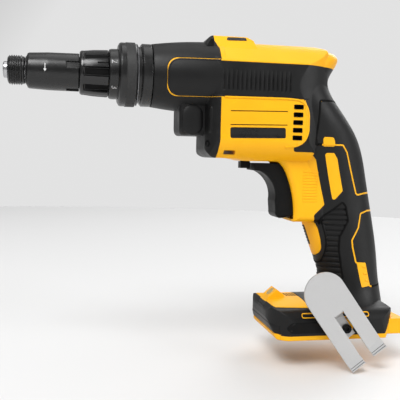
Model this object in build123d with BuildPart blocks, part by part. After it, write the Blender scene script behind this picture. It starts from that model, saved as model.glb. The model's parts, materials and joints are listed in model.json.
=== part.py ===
import os
from copy import deepcopy
from math import acos, atan2, cos, pi, radians, sin, tan

from build123d import *

# A pistol grip cordless screwdriver with a torque collar and a bare battery foot.
# The spindle turns about X. The nose points to -X, and the origin is the mouth of the bit socket.
# The halves of the housing part on the plane Y = 0, and the belt hook is on the -Y side.

os.makedirs("parts", exist_ok=True)

# Clearances, in millimetres
running_fit = 0.05
part_gap = 0.3
seat_gap = 0.1

# Nose
bit_across_flats = 6.35
bit_clearance = 0.1
socket_depth = 14.0
spindle_nose_radius = 5.5
spindle_radius = 5.0
tip_ring_length = 3.0
release_length = 11.0
release_radius = 9.8
release_ridges = 5
nose_gap = 1.3
nose_sleeve_length = 34.3
nose_sleeve_radius = 12.6
nose_sleeve_front_radius = 11.9
collar_length = 19.4
collar_front_radius = 14.9
collar_rear_radius = 16.15
collar_lobes = 12
number_ring_length = 6.0
number_ring_radius = 17.0
flange_length = 12.5
flange_radius = 21.7
groove_length = 3.0
groove_radius = 19.4
neck_length = 7.5
neck_radius = 21.5

# Stations along the spindle, from the tip back
release_x = tip_ring_length
nose_sleeve_x = release_x + release_length + nose_gap
collar_x = nose_sleeve_x + nose_sleeve_length + part_gap
number_ring_x = collar_x + collar_length + part_gap
flange_x = number_ring_x + number_ring_length
groove_x = flange_x + flange_length
neck_x = groove_x + groove_length
housing_x = neck_x + neck_length

# Gear pair between the motor and the spindle
gear_module = 0.9
pressure_angle = 25.0
pinion_teeth = 9
gear_teeth = 37
tooth_addendum = 0.75
tooth_dedendum = 1.0
backlash = 0.16
gear_width = 8.0
axis_drop = gear_module * (pinion_teeth + gear_teeth) / 2 + 0.05

# Housing, measured from its front face
skin = 1.5
wall = 3.2
body_half_width = 28.0
body_top = 25.5
body_floor = -57.8
body_rear = 128.0
column_front = 36.4
nose_radius = 21.6
boss_front = 18.8
boss_half_width = 15.0
boss_floor = -41.0
colour_break = 44.9
hump_top = 29.7
foot_floor = -182.6
foot_half_width = 33.5

# Level sections of the grip: height, front, rear and half width
grip_stations = [
    (20.8, 90.0, 133.0, 15.0),
    (15.0, 86.0, 136.8, 19.5),
    (1.0, 82.0, 129.4, 24.0),
    (-16.0, 84.0, 137.0, 25.5),
    (-40.0, 92.0, 154.2, 22.5),
    (-70.0, 105.0, 163.0, 18.6),
    (-100.0, 114.6, 169.2, 17.8),
    (-128.0, 125.0, 173.8, 18.2),
    (-146.0, 129.5, 175.8, 19.6),
    (-162.0, 118.0, 178.0, 27.0),
]

side_plane = Plane(origin=(housing_x, 0, 0), x_dir=(1, 0, 0), z_dir=(0, -1, 0))
plan_plane = Plane(origin=(housing_x, 0, 0))
section_plane = Plane(origin=(housing_x, 0, 0), x_dir=(0, 1, 0), z_dir=(1, 0, 0))


# Stations of the drive, measured from the front face of the housing
gear_front = 23.0
plate_front = gear_front + gear_width + 4.0
plate_length = 5.0
cup_radius = 19.6
cup_bore = 17.9
lobe_radius = 9.5
lobe_bore = 7.5
stator_front = 49.4
stator_length = 32.0
stator_radius = 21.5
fan_front = 88.0
rear_bearing_front = 101.9
bearing_length = 5.0
spindle_bearing_radius = 8.0
motor_bearing_radius = 6.5
shaft_radius = 2.5
rib = 3.0

# Trigger, switch and foot, measured from the front face of the housing
trigger_half_width = 10.5
switch_front = 117.5
switch_length = 32.0
switch_top = -60.0
switch_floor = -90.0
switch_half_width = 11.5
channel_front = 97.0
channel_half_width = 27.5
channel_roof = -171.0
rail_lip = 3.0
board_floor = -168.8
board_top = -161.5
hook_screw_x = 135.9
hook_screw_z = -173.3

# Housing screws: place on the side, all entering from the right
screw_places = [(56, 13), (90, 13), (118, -2), (60, -47.5), (154, -66), (161, -118)]
screw_radius = 1.5
screw_head_radius = 3.0
screw_boss_radius = 4.2
screw_seat = 9.0
screw_reach = 9.0
screw_head_length = 2.6

motor_plane = Plane(origin=(housing_x, 0, -axis_drop), x_dir=(0, 1, 0), z_dir=(1, 0, 0))


def disc(plane, start, length, radius):
    # A round bar along X, from a station on the given axis.
    with BuildPart() as bar:
        with BuildSketch(plane.offset(start)):
            Circle(radius)
        extrude(amount=length)
    return bar.part


def slab(x_range, y_range, z_range):
    # A block between pairs of faces, with X measured from the housing's front face.
    with BuildPart() as block:
        with Locations((housing_x + sum(x_range) / 2, sum(y_range) / 2, sum(z_range) / 2)):
            Box(x_range[1] - x_range[0], y_range[1] - y_range[0], z_range[1] - z_range[0])
    return block.part


def across(places, y_range, radius):
    # Round bars along Y at places on the side of the housing.
    with BuildPart() as bars:
        with BuildSketch(side_plane.offset(-y_range[1])):
            with Locations(*places):
                Circle(radius)
        extrude(amount=y_range[1] - y_range[0])
    return bars.part


def turned(profile, height=0.0):
    # A round part about an axis along X, from its half section: station and radius.
    with BuildPart() as solid:
        with BuildSketch(Plane(origin=(0, 0, height), x_dir=(1, 0, 0), z_dir=(0, -1, 0))):
            with BuildLine():
                Polyline(*profile, close=True)
            make_face()
        revolve(axis=Axis((0, 0, height), (1, 0, 0)))
    return solid.part


def tube(start, length, outer, inner, height=0.0):
    end = start + length
    return turned([(start, inner), (start, outer), (end, outer), (end, inner)], height)


def coil(start, length, mean_radius, wire, turns, height=0.0):
    # A spring of square wire along X, measured over its centre line.
    with BuildPart() as solid:
        with BuildLine() as path:
            Helix(length / turns, length, mean_radius, center=(start, 0, height), direction=(1, 0, 0))
        with BuildSketch(Plane(origin=path.line @ 0, z_dir=path.line % 0)):
            Rectangle(wire, wire)
        sweep(path=path.line, is_frenet=True)
    return solid.part


def involute(angle):
    return tan(angle) - angle


def gear_outline(teeth, first_tooth):
    # The edge of a spur gear as points, with the first tooth at the given angle.
    pitch = gear_module * teeth / 2
    base = pitch * cos(radians(pressure_angle))
    root = pitch - tooth_dedendum * gear_module
    tip = pitch + tooth_addendum * gear_module
    half_tooth = pi / (2 * teeth) - backlash / (4 * pitch) + involute(radians(pressure_angle))
    flank = []
    for radius in (root, max(root, base), (max(root, base) + pitch) / 2, pitch, (pitch + tip) / 2, tip):
        if flank and radius - flank[-1][0] < 0.01:
            continue
        flank.append((radius, half_tooth - involute(acos(min(1.0, base / radius)))))
    points = []
    for tooth in range(teeth):
        middle = radians(first_tooth) + 2 * pi * tooth / teeth
        for radius, half in flank:
            points.append((radius * cos(middle - half), radius * sin(middle - half)))
        for radius, half in reversed(flank):
            points.append((radius * cos(middle + half), radius * sin(middle + half)))
    return points


def spur_gear(plane, length, teeth, first_tooth):
    with BuildPart() as solid:
        with BuildSketch(plane):
            with BuildLine():
                Polyline(*gear_outline(teeth, first_tooth), close=True)
            make_face()
        extrude(amount=length)
    return solid.part


# Spindle, keyed for the clutch plate and stepped for the gear and the rear bearing
bush_x = nose_sleeve_x + 12.0
bush_length = 8.0
key_x = 105.0
key_end = 116.0
key_core_radius = 6.0
key_radius = 7.0
key_width = 2.5
rear_journal_radius = 4.0
gear_x = housing_x + gear_front
gear_end = gear_x + gear_width
plate_x = housing_x + plate_front
spindle_end = plate_x + plate_length + 0.9
ball_x = 12.5
ball_radius = 1.5
ball_seat = spindle_nose_radius - ball_radius

with BuildPart() as spindle:
    add(
        turned(
            [
                (0, 0),
                (0, spindle_nose_radius - 0.6),
                (0.6, spindle_nose_radius),
                (22, spindle_nose_radius),
                (22.5, spindle_radius),
                (key_x, spindle_radius),
                (key_x, key_core_radius),
                (key_end, key_core_radius),
                (key_end, spindle_radius),
                (gear_end, spindle_radius),
                (gear_end, rear_journal_radius),
                (spindle_end, rear_journal_radius),
                (spindle_end, 0),
            ]
        )
    )
    with BuildSketch(section_plane.offset(key_x - housing_x)):
        with PolarLocations((key_radius + spindle_radius) / 2, 3, start_angle=90):
            Rectangle(key_radius - spindle_radius, key_width)
    extrude(amount=key_end - key_x)
    with BuildSketch(section_plane.offset(-housing_x)):
        RegularPolygon((bit_across_flats + bit_clearance) / 2, 6, major_radius=False)
    extrude(amount=socket_depth, mode=Mode.SUBTRACT)
    with Locations((ball_x, 0, ball_seat)):
        Cylinder(ball_radius + running_fit, 2 * ball_seat, mode=Mode.SUBTRACT)

with BuildPart() as bit_ball:
    with Locations((ball_x, 0, ball_seat)):
        Sphere(ball_radius)

# Quick release sleeve, with its spring held by a ring on the spindle
sleeve_bore = 7.8
sleeve_wall_x = release_x + 8.0
release_end = release_x + release_length
ring_x = release_x + 1.0
ring_length = 1.0
sleeve_wire = 0.6

with BuildPart() as release_sleeve:
    ridge_pitch = 7.4 / release_ridges
    ridge_points = []
    for ridge in range(release_ridges):
        ridge_x = release_x + 1.6 + ridge * ridge_pitch
        ridge_points.append((ridge_x, release_radius - 0.7))
        ridge_points.append((ridge_x + 0.4 * ridge_pitch, release_radius - 0.7))
        ridge_points.append((ridge_x + 0.55 * ridge_pitch, release_radius))
        ridge_points.append((ridge_x + 0.85 * ridge_pitch, release_radius))
    add(
        turned(
            [(release_x, sleeve_bore), (release_x, release_radius - 1.4), (release_x + 1.2, release_radius - 0.1)]
            + ridge_points
            + [
                (release_end - 1.6, release_radius - 0.7),
                (release_end - 0.5, release_radius - 0.7),
                (release_end, release_radius - 1.3),
                (release_end, spindle_nose_radius + running_fit),
                (sleeve_wall_x, spindle_nose_radius + running_fit),
                (sleeve_wall_x, sleeve_bore),
            ]
        )
    )

with BuildPart() as sleeve_ring:
    add(tube(ring_x, ring_length, sleeve_bore - part_gap, spindle_nose_radius + running_fit))

with BuildPart() as sleeve_spring:
    spring_start = ring_x + ring_length + sleeve_wire / 2 + 0.1
    spring_end = sleeve_wall_x - sleeve_wire / 2 - 0.1
    add(coil(spring_start, spring_end - spring_start, 6.6, sleeve_wire, 3))

# Nose sleeve that turns on the snout of the clutch housing
snout_radius = 10.5
keyway_count = 4
keyway_depth = 1.0
keyway_width = 5.0
keyway_length = 8.5
nose_end = nose_sleeve_x + nose_sleeve_length

with BuildPart() as nose_sleeve:
    add(
        turned(
            [
                (nose_sleeve_x, spindle_nose_radius + 2.0),
                (nose_sleeve_x, nose_sleeve_front_radius - 1.5),
                (nose_sleeve_x + 0.5, nose_sleeve_front_radius - 0.5),
                (nose_sleeve_x + 1.5, nose_sleeve_front_radius),
                (nose_sleeve_x + 14, nose_sleeve_radius),
                (nose_end - 0.4, nose_sleeve_radius + 0.2),
                (nose_end, nose_sleeve_radius - 0.2),
                (nose_end, snout_radius + running_fit),
                (bush_x - part_gap, snout_radius + running_fit),
                (bush_x - part_gap, spindle_nose_radius + 2.0),
            ]
        )
    )
    with BuildSketch(section_plane.offset(nose_end - keyway_length - housing_x)):
        with PolarLocations(nose_sleeve_radius + 1.0, keyway_count, start_angle=162):
            Rectangle(2 * keyway_depth + 2.0, keyway_width)
    extrude(amount=keyway_length, mode=Mode.SUBTRACT)

# Clutch housing: snout, tube, large collar and the spigot that enters the gear case
tube_radius = 12.6
tube_bore = 11.0
barrel_bore = 15.5
spigot_radius = 17.5
spigot_length = 6.0
bush_radius = 7.6
lug_slot_width = 4.0
lug_slot_x = collar_x + 2.5
lug_slot_length = 9.0
spigot_end = neck_x + spigot_length

with BuildPart() as clutch_housing:
    add(
        turned(
            [
                (bush_x, bush_radius),
                (bush_x, snout_radius - 0.5),
                (bush_x + 0.5, snout_radius),
                (collar_x, snout_radius),
                (collar_x, tube_radius),
                (flange_x, tube_radius),
                (flange_x, flange_radius - 2.2),
                (flange_x + 1.0, flange_radius - 0.5),
                (flange_x + 2.0, flange_radius),
                (groove_x - 1.0, flange_radius),
                (groove_x, flange_radius - 1.0),
                (groove_x, groove_radius),
                (neck_x, groove_radius),
                (neck_x, spigot_radius),
                (spigot_end, spigot_radius),
                (spigot_end, barrel_bore),
                (flange_x + 3.0, barrel_bore),
                (flange_x + 3.0, tube_bore),
                (collar_x + 2.0, tube_bore),
                (collar_x + 2.0, bush_radius + 0.8),
                (bush_x + bush_length, bush_radius + 0.8),
                (bush_x + bush_length, bush_radius),
            ]
        )
    )
    with Locations((lug_slot_x + lug_slot_length / 2, 0, 0)):
        Box(lug_slot_length, lug_slot_width, 4 * tube_radius, mode=Mode.SUBTRACT)

with BuildPart() as spindle_bush:
    add(tube(bush_x, bush_length, bush_radius - running_fit, spindle_radius + running_fit))

# Torque collar, number ring and the adjuster they set
collar_relief = 13.6
adjuster_bore = 7.5
adjuster_lug_radius = 13.3
adjuster_lug_width = 3.4
adjuster_lug_length = 4.0
adjuster_x = collar_x + 4.0
adjuster_end = flange_x + 2.0
collar_end = collar_x + collar_length
flute_radius = 3.4
flute_circle = 18.1

with BuildPart() as torque_collar:
    add(
        turned(
            [
                (collar_x, tube_radius + running_fit),
                (collar_x, collar_front_radius - 1.2),
                (collar_x + 1.2, collar_front_radius),
                (collar_x + 9, (collar_front_radius + collar_rear_radius) / 2 + 0.2),
                (collar_end - 0.8, collar_rear_radius),
                (collar_end, collar_rear_radius - 0.8),
                (collar_end, tube_radius + running_fit),
                (collar_x + 16.5, tube_radius + running_fit),
                (collar_x + 16.5, collar_relief),
                (collar_x + 2.0, collar_relief),
                (collar_x + 2.0, tube_radius + running_fit),
            ]
        )
    )
    with BuildSketch(section_plane.offset(collar_x - 1 - housing_x)):
        with PolarLocations(flute_circle, collar_lobes, start_angle=8):
            Circle(flute_radius)
    extrude(amount=collar_length + 2, mode=Mode.SUBTRACT)

with BuildPart() as number_ring:
    ring_end = number_ring_x + number_ring_length
    add(
        turned(
            [
                (number_ring_x, tube_radius + running_fit),
                (number_ring_x, number_ring_radius - 0.7),
                (number_ring_x + 0.5, number_ring_radius - 0.2),
                (ring_end, number_ring_radius + 0.2),
                (ring_end, tube_radius + running_fit),
            ]
        )
    )

with BuildPart() as clutch_adjuster:
    add(tube(adjuster_x, adjuster_end - adjuster_x, tube_bore - 0.1, adjuster_bore))
    with Locations((adjuster_x + adjuster_lug_length / 2, 0, 0)):
        Box(adjuster_lug_length, adjuster_lug_width, 2 * adjuster_lug_radius)
    with Locations((adjuster_x + adjuster_lug_length / 2, 0, 0)):
        Cylinder(adjuster_bore, 2 * adjuster_lug_length, rotation=(0, 90, 0), mode=Mode.SUBTRACT)

# Clutch: a plate with dogs, pressed against the gear's dogs by a spring
clutch_x = 108.6
clutch_length = 6.0
clutch_radius = 14.5
dog_height = 2.5
dog_circle = 11.0
dog_radial = 4.0
dog_width = 5.0
hub_x = clutch_x + clutch_length + dog_height + part_gap
hub_radius = 14.0
spring_wire = 1.6

with BuildPart() as clutch_spring:
    spring_start = adjuster_end + spring_wire / 2 + 0.1
    spring_end = clutch_x - spring_wire / 2 - 0.1
    add(coil(spring_start, spring_end - spring_start, 9.2, spring_wire, 6))

with BuildPart() as clutch_plate:
    with BuildSketch(section_plane.offset(clutch_x - housing_x)):
        Circle(clutch_radius)
        Circle(key_core_radius + running_fit, mode=Mode.SUBTRACT)
        with PolarLocations((key_radius + spindle_radius) / 2, 3, start_angle=90):
            Rectangle(key_radius - spindle_radius + 2 * part_gap, key_width + 2 * part_gap, mode=Mode.SUBTRACT)
    extrude(amount=clutch_length)
    with BuildSketch(section_plane.offset(clutch_x + clutch_length - housing_x)):
        with PolarLocations(dog_circle, 3, start_angle=30):
            Rectangle(dog_radial, dog_width)
    extrude(amount=dog_height)

with BuildPart() as spindle_gear:
    add(spur_gear(section_plane.offset(gear_front), gear_width, gear_teeth, -90))
    with BuildSketch(section_plane.offset(hub_x - housing_x)):
        Circle(hub_radius)
    extrude(amount=gear_x - hub_x)
    with BuildSketch(section_plane.offset(hub_x - dog_height - housing_x)):
        with PolarLocations(dog_circle, 3, start_angle=90):
            Rectangle(dog_radial, dog_width)
    extrude(amount=dog_height)
    with BuildSketch(section_plane.offset(hub_x - dog_height - housing_x)):
        Circle(spindle_radius + running_fit)
    extrude(amount=dog_height + gear_end - hub_x, mode=Mode.SUBTRACT)

# Gear case with a lobe round the motor pinion, and the plate that closes it
neck_bore = spigot_radius + seat_gap
throat_radius = 18.2
throat_bore = 16.2

with BuildPart() as gear_case:
    add(
        turned(
            [
                (neck_x, neck_bore),
                (neck_x, neck_radius - 1.0),
                (neck_x + 1.0, neck_radius),
                (housing_x - 0.8, neck_radius),
                (housing_x, neck_radius - 0.8),
                (housing_x, throat_radius),
                (housing_x + 5, throat_radius),
                (housing_x + 12, cup_radius),
                (plate_x, cup_radius),
                (plate_x, cup_bore),
                (housing_x + 12, cup_bore),
                (housing_x + 5, throat_bore),
                (spigot_end + 0.5, throat_bore),
                (spigot_end + 0.5, neck_bore),
            ]
        )
    )
    add(disc(motor_plane, gear_front - 0.4, plate_front - gear_front + 0.4, lobe_radius))
    add(disc(motor_plane, gear_front - 1.4, plate_front - gear_front + 2, lobe_bore), mode=Mode.SUBTRACT)
    add(disc(section_plane, 12, plate_front - 11, cup_bore), mode=Mode.SUBTRACT)

with BuildPart() as bearing_plate:
    with BuildSketch(section_plane.offset(plate_front)):
        Circle(cup_radius)
        with Locations((0, -axis_drop)):
            Circle(lobe_radius)
        Circle(spindle_bearing_radius + running_fit, mode=Mode.SUBTRACT)
        with Locations((0, -axis_drop)):
            Circle(motor_bearing_radius + running_fit, mode=Mode.SUBTRACT)
    extrude(amount=plate_length)

with BuildPart() as spindle_bearing:
    add(tube(plate_x, bearing_length, spindle_bearing_radius, rear_journal_radius + running_fit))

# Motor
shaft_front = gear_front - 1.0 + part_gap
shaft_end = rear_bearing_front + bearing_length + part_gap
stator_bore = 11.4
yoke_bore = 18.0
pole_count = 6
pole_width = 5.0
coil_inner = 12.5
coil_outer = 17.0
coil_width = 10.2
end_turn = 4.0
rotor_radius = 10.9
fan_length = 7.0
fan_radius = 19.5
fan_blades = 9

with BuildPart() as front_motor_bearing:
    add(tube(plate_x, bearing_length, motor_bearing_radius, shaft_radius + running_fit, -axis_drop))

with BuildPart() as rear_motor_bearing:
    rear_x = housing_x + rear_bearing_front
    add(tube(rear_x, bearing_length, motor_bearing_radius, shaft_radius + running_fit, -axis_drop))

with BuildPart() as motor_shaft:
    add(disc(motor_plane, shaft_front, shaft_end - shaft_front, shaft_radius))

with BuildPart() as motor_pinion:
    add(spur_gear(motor_plane.offset(gear_front - 0.5), gear_width + 1.5, pinion_teeth, 90 + 180 / pinion_teeth))
    add(disc(motor_plane, gear_front - 2, gear_width + 4, shaft_radius + running_fit), mode=Mode.SUBTRACT)

with BuildPart() as rotor:
    add(tube(housing_x + stator_front, stator_length, rotor_radius, shaft_radius + running_fit, -axis_drop))

with BuildPart() as stator:
    with BuildSketch(motor_plane.offset(stator_front)):
        Circle(stator_radius)
        Circle(yoke_bore, mode=Mode.SUBTRACT)
        with PolarLocations((stator_bore + yoke_bore + 1) / 2, pole_count, start_angle=90):
            Rectangle(yoke_bore + 1 - stator_bore, pole_width)
        Circle(stator_bore, mode=Mode.SUBTRACT)
    extrude(amount=stator_length)

with BuildPart() as windings:
    with BuildSketch(motor_plane.offset(stator_front - end_turn)):
        with PolarLocations((coil_inner + coil_outer) / 2, pole_count, start_angle=90):
            Rectangle(coil_outer - coil_inner, coil_width)
    extrude(amount=stator_length + 2 * end_turn)
    with BuildSketch(motor_plane.offset(stator_front - seat_gap)):
        with PolarLocations((coil_inner + coil_outer) / 2, pole_count, start_angle=90):
            Rectangle(coil_outer - coil_inner + 4, pole_width + 2 * seat_gap)
    extrude(amount=stator_length + 2 * seat_gap, mode=Mode.SUBTRACT)

with BuildPart() as fan:
    add(tube(housing_x + fan_front, fan_length, shaft_radius + 2.5, shaft_radius + running_fit, -axis_drop))
    add(tube(housing_x + fan_front + fan_length - 1.5, 1.5, fan_radius, shaft_radius + 2, -axis_drop))
    with BuildSketch(motor_plane.offset(fan_front)):
        with PolarLocations(12.5, fan_blades):
            Rectangle(13, 1.2)
    extrude(amount=fan_length - 1)

# Trigger, with the plunger that enters the switch
trigger_rear = 107.0
trigger_top = -59.2
plunger_z = -75.0
plunger_radius = 3.5
plunger_reach = 8.0
switch_bore_depth = 15.0
trigger_wire = 0.8

with BuildPart() as trigger:
    with BuildSketch(side_plane):
        with BuildLine():
            Polyline((trigger_rear, trigger_top), (74, trigger_top), (74, -64.2), (78.4, -64.8))
            ThreePointArc((78.4, -64.8), (86.8, -71.5), (90.3, -86.2))
            Line((90.3, -86.2), (91, -94))
            ThreePointArc((91, -94), (92.1, -97.6), (95.4, -98.7))
            Polyline((95.4, -98.7), (trigger_rear, -97), (trigger_rear, trigger_top))
        make_face()
    extrude(amount=trigger_half_width, both=True)
    trigger_edges = trigger.faces().filter_by(Axis.Y).edges()
    fillet(trigger_edges.filter_by(lambda edge: edge.center().X < housing_x + 95 and edge.center().Z < -66), 2.5)

with BuildPart() as switch_plunger:
    plunger_plane = Plane(origin=(housing_x, 0, plunger_z), x_dir=(0, 1, 0), z_dir=(1, 0, 0))
    add(disc(plunger_plane, trigger_rear, switch_front + plunger_reach - trigger_rear, plunger_radius))

with BuildPart() as trigger_spring:
    spring_start = housing_x + trigger_rear + trigger_wire / 2 + 0.1
    spring_end = housing_x + switch_front - trigger_wire / 2 - 0.1
    add(coil(spring_start, spring_end - spring_start, 5.3, trigger_wire, 4, plunger_z))

with BuildPart() as switch_body:
    switch_end = switch_front + switch_length
    add(slab((switch_front, switch_end), (-switch_half_width, switch_half_width), (switch_floor, switch_top)))
    add(disc(plunger_plane, switch_front, switch_bore_depth, plunger_radius + 0.2), mode=Mode.SUBTRACT)

# Forward and reverse lever under the body, turning on its own pin
lever_pivot = 84.0
lever_pin_radius = 2.0
lever_tip = 65.6
lever_tip_length = 7.0
lever_tip_floor = -63.0
lever_plate_z = body_floor + wall + part_gap
lever_plate_thickness = 2.5
lever_half_width = 3.5
lever_slot = (66.0, 73.0)
lever_slot_half_width = 7.2
lever_pin_depth = 2.2

with BuildPart() as direction_lever:
    stem_x = (lever_slot[0] + 1, lever_slot[1] - 1)
    tip_top = body_floor - 0.4
    plate_z = (lever_plate_z, lever_plate_z + lever_plate_thickness)
    add(slab((stem_x[0], lever_pivot + 4), (-lever_half_width, lever_half_width), plate_z))
    add(slab(stem_x, (-lever_half_width, lever_half_width), (tip_top, plate_z[1])))
    tip_x = (lever_tip, lever_tip + lever_tip_length)
    add(slab(tip_x, (-lever_half_width, lever_half_width), (lever_tip_floor, tip_top)))
    with BuildSketch(plan_plane.offset(lever_plate_z - lever_pin_depth)):
        with Locations((lever_pivot, 0)):
            Circle(lever_pin_radius)
    extrude(amount=lever_pin_depth)

# Electronics in the foot
board_half_width = 20.0
blade_count = 5
blade_pitch = 5.6
blade_thickness = 0.8
block_x = (channel_front + part_gap, channel_front + 14)
block_z = (channel_roof - 8, channel_roof - seat_gap)
blade_x = (channel_front + 10, channel_front + 28)
blade_z = (channel_roof - 7, channel_roof - 1.5)

with BuildPart() as control_board:
    board_z = (board_floor, board_floor + 1.6)
    add(slab((101, 160), (-board_half_width, board_half_width), board_z))
    add(slab((106, 122), (-16, -4), (board_z[1], board_z[1] + 4.5)))
    add(slab((106, 122), (2, 16), (board_z[1], board_z[1] + 3.0)))
    add(slab((128, 150), (-14, 14), (board_z[1], board_z[1] + 2.5)))

with BuildPart() as terminal_block:
    add(slab(block_x, (-16, 16), block_z))
    for blade in range(blade_count):
        blade_y = (blade - (blade_count - 1) / 2) * blade_pitch
        half_slot = blade_thickness / 2 + running_fit
        slot_z = (blade_z[0] - running_fit, blade_z[1] + running_fit)
        slot_x = (blade_x[0] - running_fit, block_x[1] + 1)
        add(slab(slot_x, (blade_y - half_slot, blade_y + half_slot), slot_z), mode=Mode.SUBTRACT)

with BuildPart() as terminal_blades:
    for blade in range(blade_count):
        blade_y = (blade - (blade_count - 1) / 2) * blade_pitch
        add(slab(blade_x, (blade_y - blade_thickness / 2, blade_y + blade_thickness / 2), blade_z))

# Light on the front of the foot
hood_half_width = 6.5
hood_face = [(88.6, -156.6), (94.6, -151.4)]
hood_profile = [(84, -163)] + hood_face + [(99.6, -155.2), (104, -163)]
lens_radius = 3.3
lens_length = 4.0
led_board_thickness = 1.2
lens_tilt = atan2(hood_face[1][1] - hood_face[0][1], hood_face[1][0] - hood_face[0][0])
lens_x = (hood_face[0][0] + hood_face[1][0]) / 2
lens_z = (hood_face[0][1] + hood_face[1][1]) / 2
lens_plane = Plane(
    origin=(housing_x + lens_x, 0, lens_z),
    x_dir=(0, 1, 0),
    z_dir=(-sin(lens_tilt), 0, cos(lens_tilt)),
)

with BuildPart() as led_lens:
    with BuildSketch(lens_plane.offset(-lens_length)):
        Circle(lens_radius)
    extrude(amount=lens_length + 0.4)
    fillet(led_lens.faces().sort_by(Axis.Z)[-1].edges(), 0.5)

with BuildPart() as led_board:
    with BuildSketch(lens_plane.offset(-lens_length - led_board_thickness - seat_gap)):
        Circle(lens_radius)
    extrude(amount=led_board_thickness)

# Belt hook of bent steel strip, laid out along its own axis
hook_seat_radius = 6.0
hook_seat_y = 36.0
hook_thickness = 1.6
hook_face_y = 44.0
hook_half_width = 15.0
hook_slot = 7.5
hook_slot_start = 17.0
hook_length = 57.0
hook_screw_reach = 32.2
hook_screw_radius = 2.0
hook_screw_depth = 8.0
hook_axis_x = 0.585
hook_axis_z = -0.811
hook_centre = (
    housing_x + hook_screw_x - hook_screw_reach * hook_axis_x,
    -hook_face_y + hook_thickness,
    hook_screw_z - hook_screw_reach * hook_axis_z,
)
hook_plane = Plane(origin=hook_centre, x_dir=(hook_axis_x, 0, hook_axis_z), z_dir=(0, -1, 0))
hook_drop = hook_face_y - hook_thickness - hook_seat_y
hook_side_plane = Plane(
    origin=hook_centre,
    x_dir=(hook_axis_x, 0, hook_axis_z),
    z_dir=(-hook_axis_z, 0, hook_axis_x),
)

hook_lip = 6.0
hook_lip_rise = 2.4
hook_tine = hook_half_width - hook_slot / 2
tongue_end = hook_screw_reach + 6.8
tongue_profile = [
    (hook_slot_start - 2, 0),
    (hook_slot_start - 2, -hook_thickness),
    (hook_slot_start + 0.6, -hook_thickness),
    (hook_slot_start + 5.4, hook_drop - hook_thickness),
    (tongue_end, hook_drop - hook_thickness),
    (tongue_end, hook_drop),
    (hook_slot_start + 4.4, hook_drop),
    (hook_slot_start - 0.4, 0),
]
lip_profile = [
    (hook_length - hook_lip - 0.6, 0),
    (hook_length - hook_lip - 0.6, -hook_thickness),
    (hook_length - hook_lip, -hook_thickness),
    (hook_length, -hook_thickness - hook_lip_rise),
    (hook_length + 0.6, -hook_lip_rise),
    (hook_length - hook_lip + 0.6, 0),
]

with BuildPart() as belt_hook:
    with BuildSketch(hook_plane):
        Circle(hook_half_width)
        with Locations(((hook_length - hook_lip) / 2, 0)):
            Rectangle(hook_length - hook_lip, 2 * hook_half_width)
        with Locations((hook_slot_start + hook_length / 2, 0)):
            Rectangle(hook_length, hook_slot, mode=Mode.SUBTRACT)
    extrude(amount=hook_thickness)
    with BuildSketch(hook_side_plane):
        with BuildLine():
            Polyline(*tongue_profile, close=True)
        make_face()
    extrude(amount=hook_slot / 2 - 0.25, both=True)
    with BuildSketch(hook_side_plane.offset(hook_slot / 2), hook_side_plane.offset(-hook_half_width)):
        with BuildLine():
            Polyline(*lip_profile, close=True)
        make_face()
    extrude(amount=hook_tine)
    with BuildSketch(hook_plane.offset(-hook_drop)):
        with Locations((hook_screw_reach, 0)):
            Circle(hook_screw_radius + 0.1)
    extrude(amount=hook_drop, mode=Mode.SUBTRACT)

with BuildPart() as hook_screw:
    with BuildSketch(hook_plane.offset(-hook_drop - hook_screw_depth + part_gap)):
        with Locations((hook_screw_reach, 0)):
            Circle(hook_screw_radius)
    extrude(amount=hook_screw_depth - part_gap + hook_thickness)
    with BuildSketch(hook_plane.offset(hook_thickness - hook_drop)):
        with Locations((hook_screw_reach, 0)):
            Circle(3.2)
    extrude(amount=2.2)
    with BuildSketch(hook_plane.offset(hook_thickness - hook_drop + 1.0)):
        with Locations((hook_screw_reach, 0)):
            RegularPolygon(1.5, 6, major_radius=False)
    extrude(amount=2.0, mode=Mode.SUBTRACT)

with BuildPart() as housing_screws:
    add(across(screw_places, (-screw_reach, screw_seat), screw_radius))
    add(across(screw_places, (screw_seat, screw_seat + screw_head_length), screw_head_radius))
    add(across(screw_places, (screw_seat + 1.0, screw_seat + 4.0), 1.3), mode=Mode.SUBTRACT)

def grip_column(stations, inset):
    # The grip and the rear of the body, lofted through level ovals.
    with BuildPart() as solid:
        for height, front, rear, half in stations:
            with BuildSketch(plan_plane.offset(height)):
                with Locations(((front + rear) / 2, 0)):
                    Ellipse((rear - front) / 2 - inset, half - inset)
        loft()
    return solid.part


def trigger_block(inset):
    # The part of the grip that holds the trigger between its side walls.
    with BuildPart() as solid:
        with BuildSketch(side_plane):
            with BuildLine():
                ThreePointArc((80, -54), (92, -59), (97.5, -67))
                ThreePointArc((97.5, -67), (101.8, -80), (103.6, -101))
                Polyline((103.6, -101), (128, -101), (122, -54), (80, -54))
            make_face()
            if inset:
                offset(amount=-inset)
        extrude(amount=15.5 - inset, both=True)
        fillet(solid.faces().filter_by(Axis.Y).edges(), 4)
    return solid.part


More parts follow.
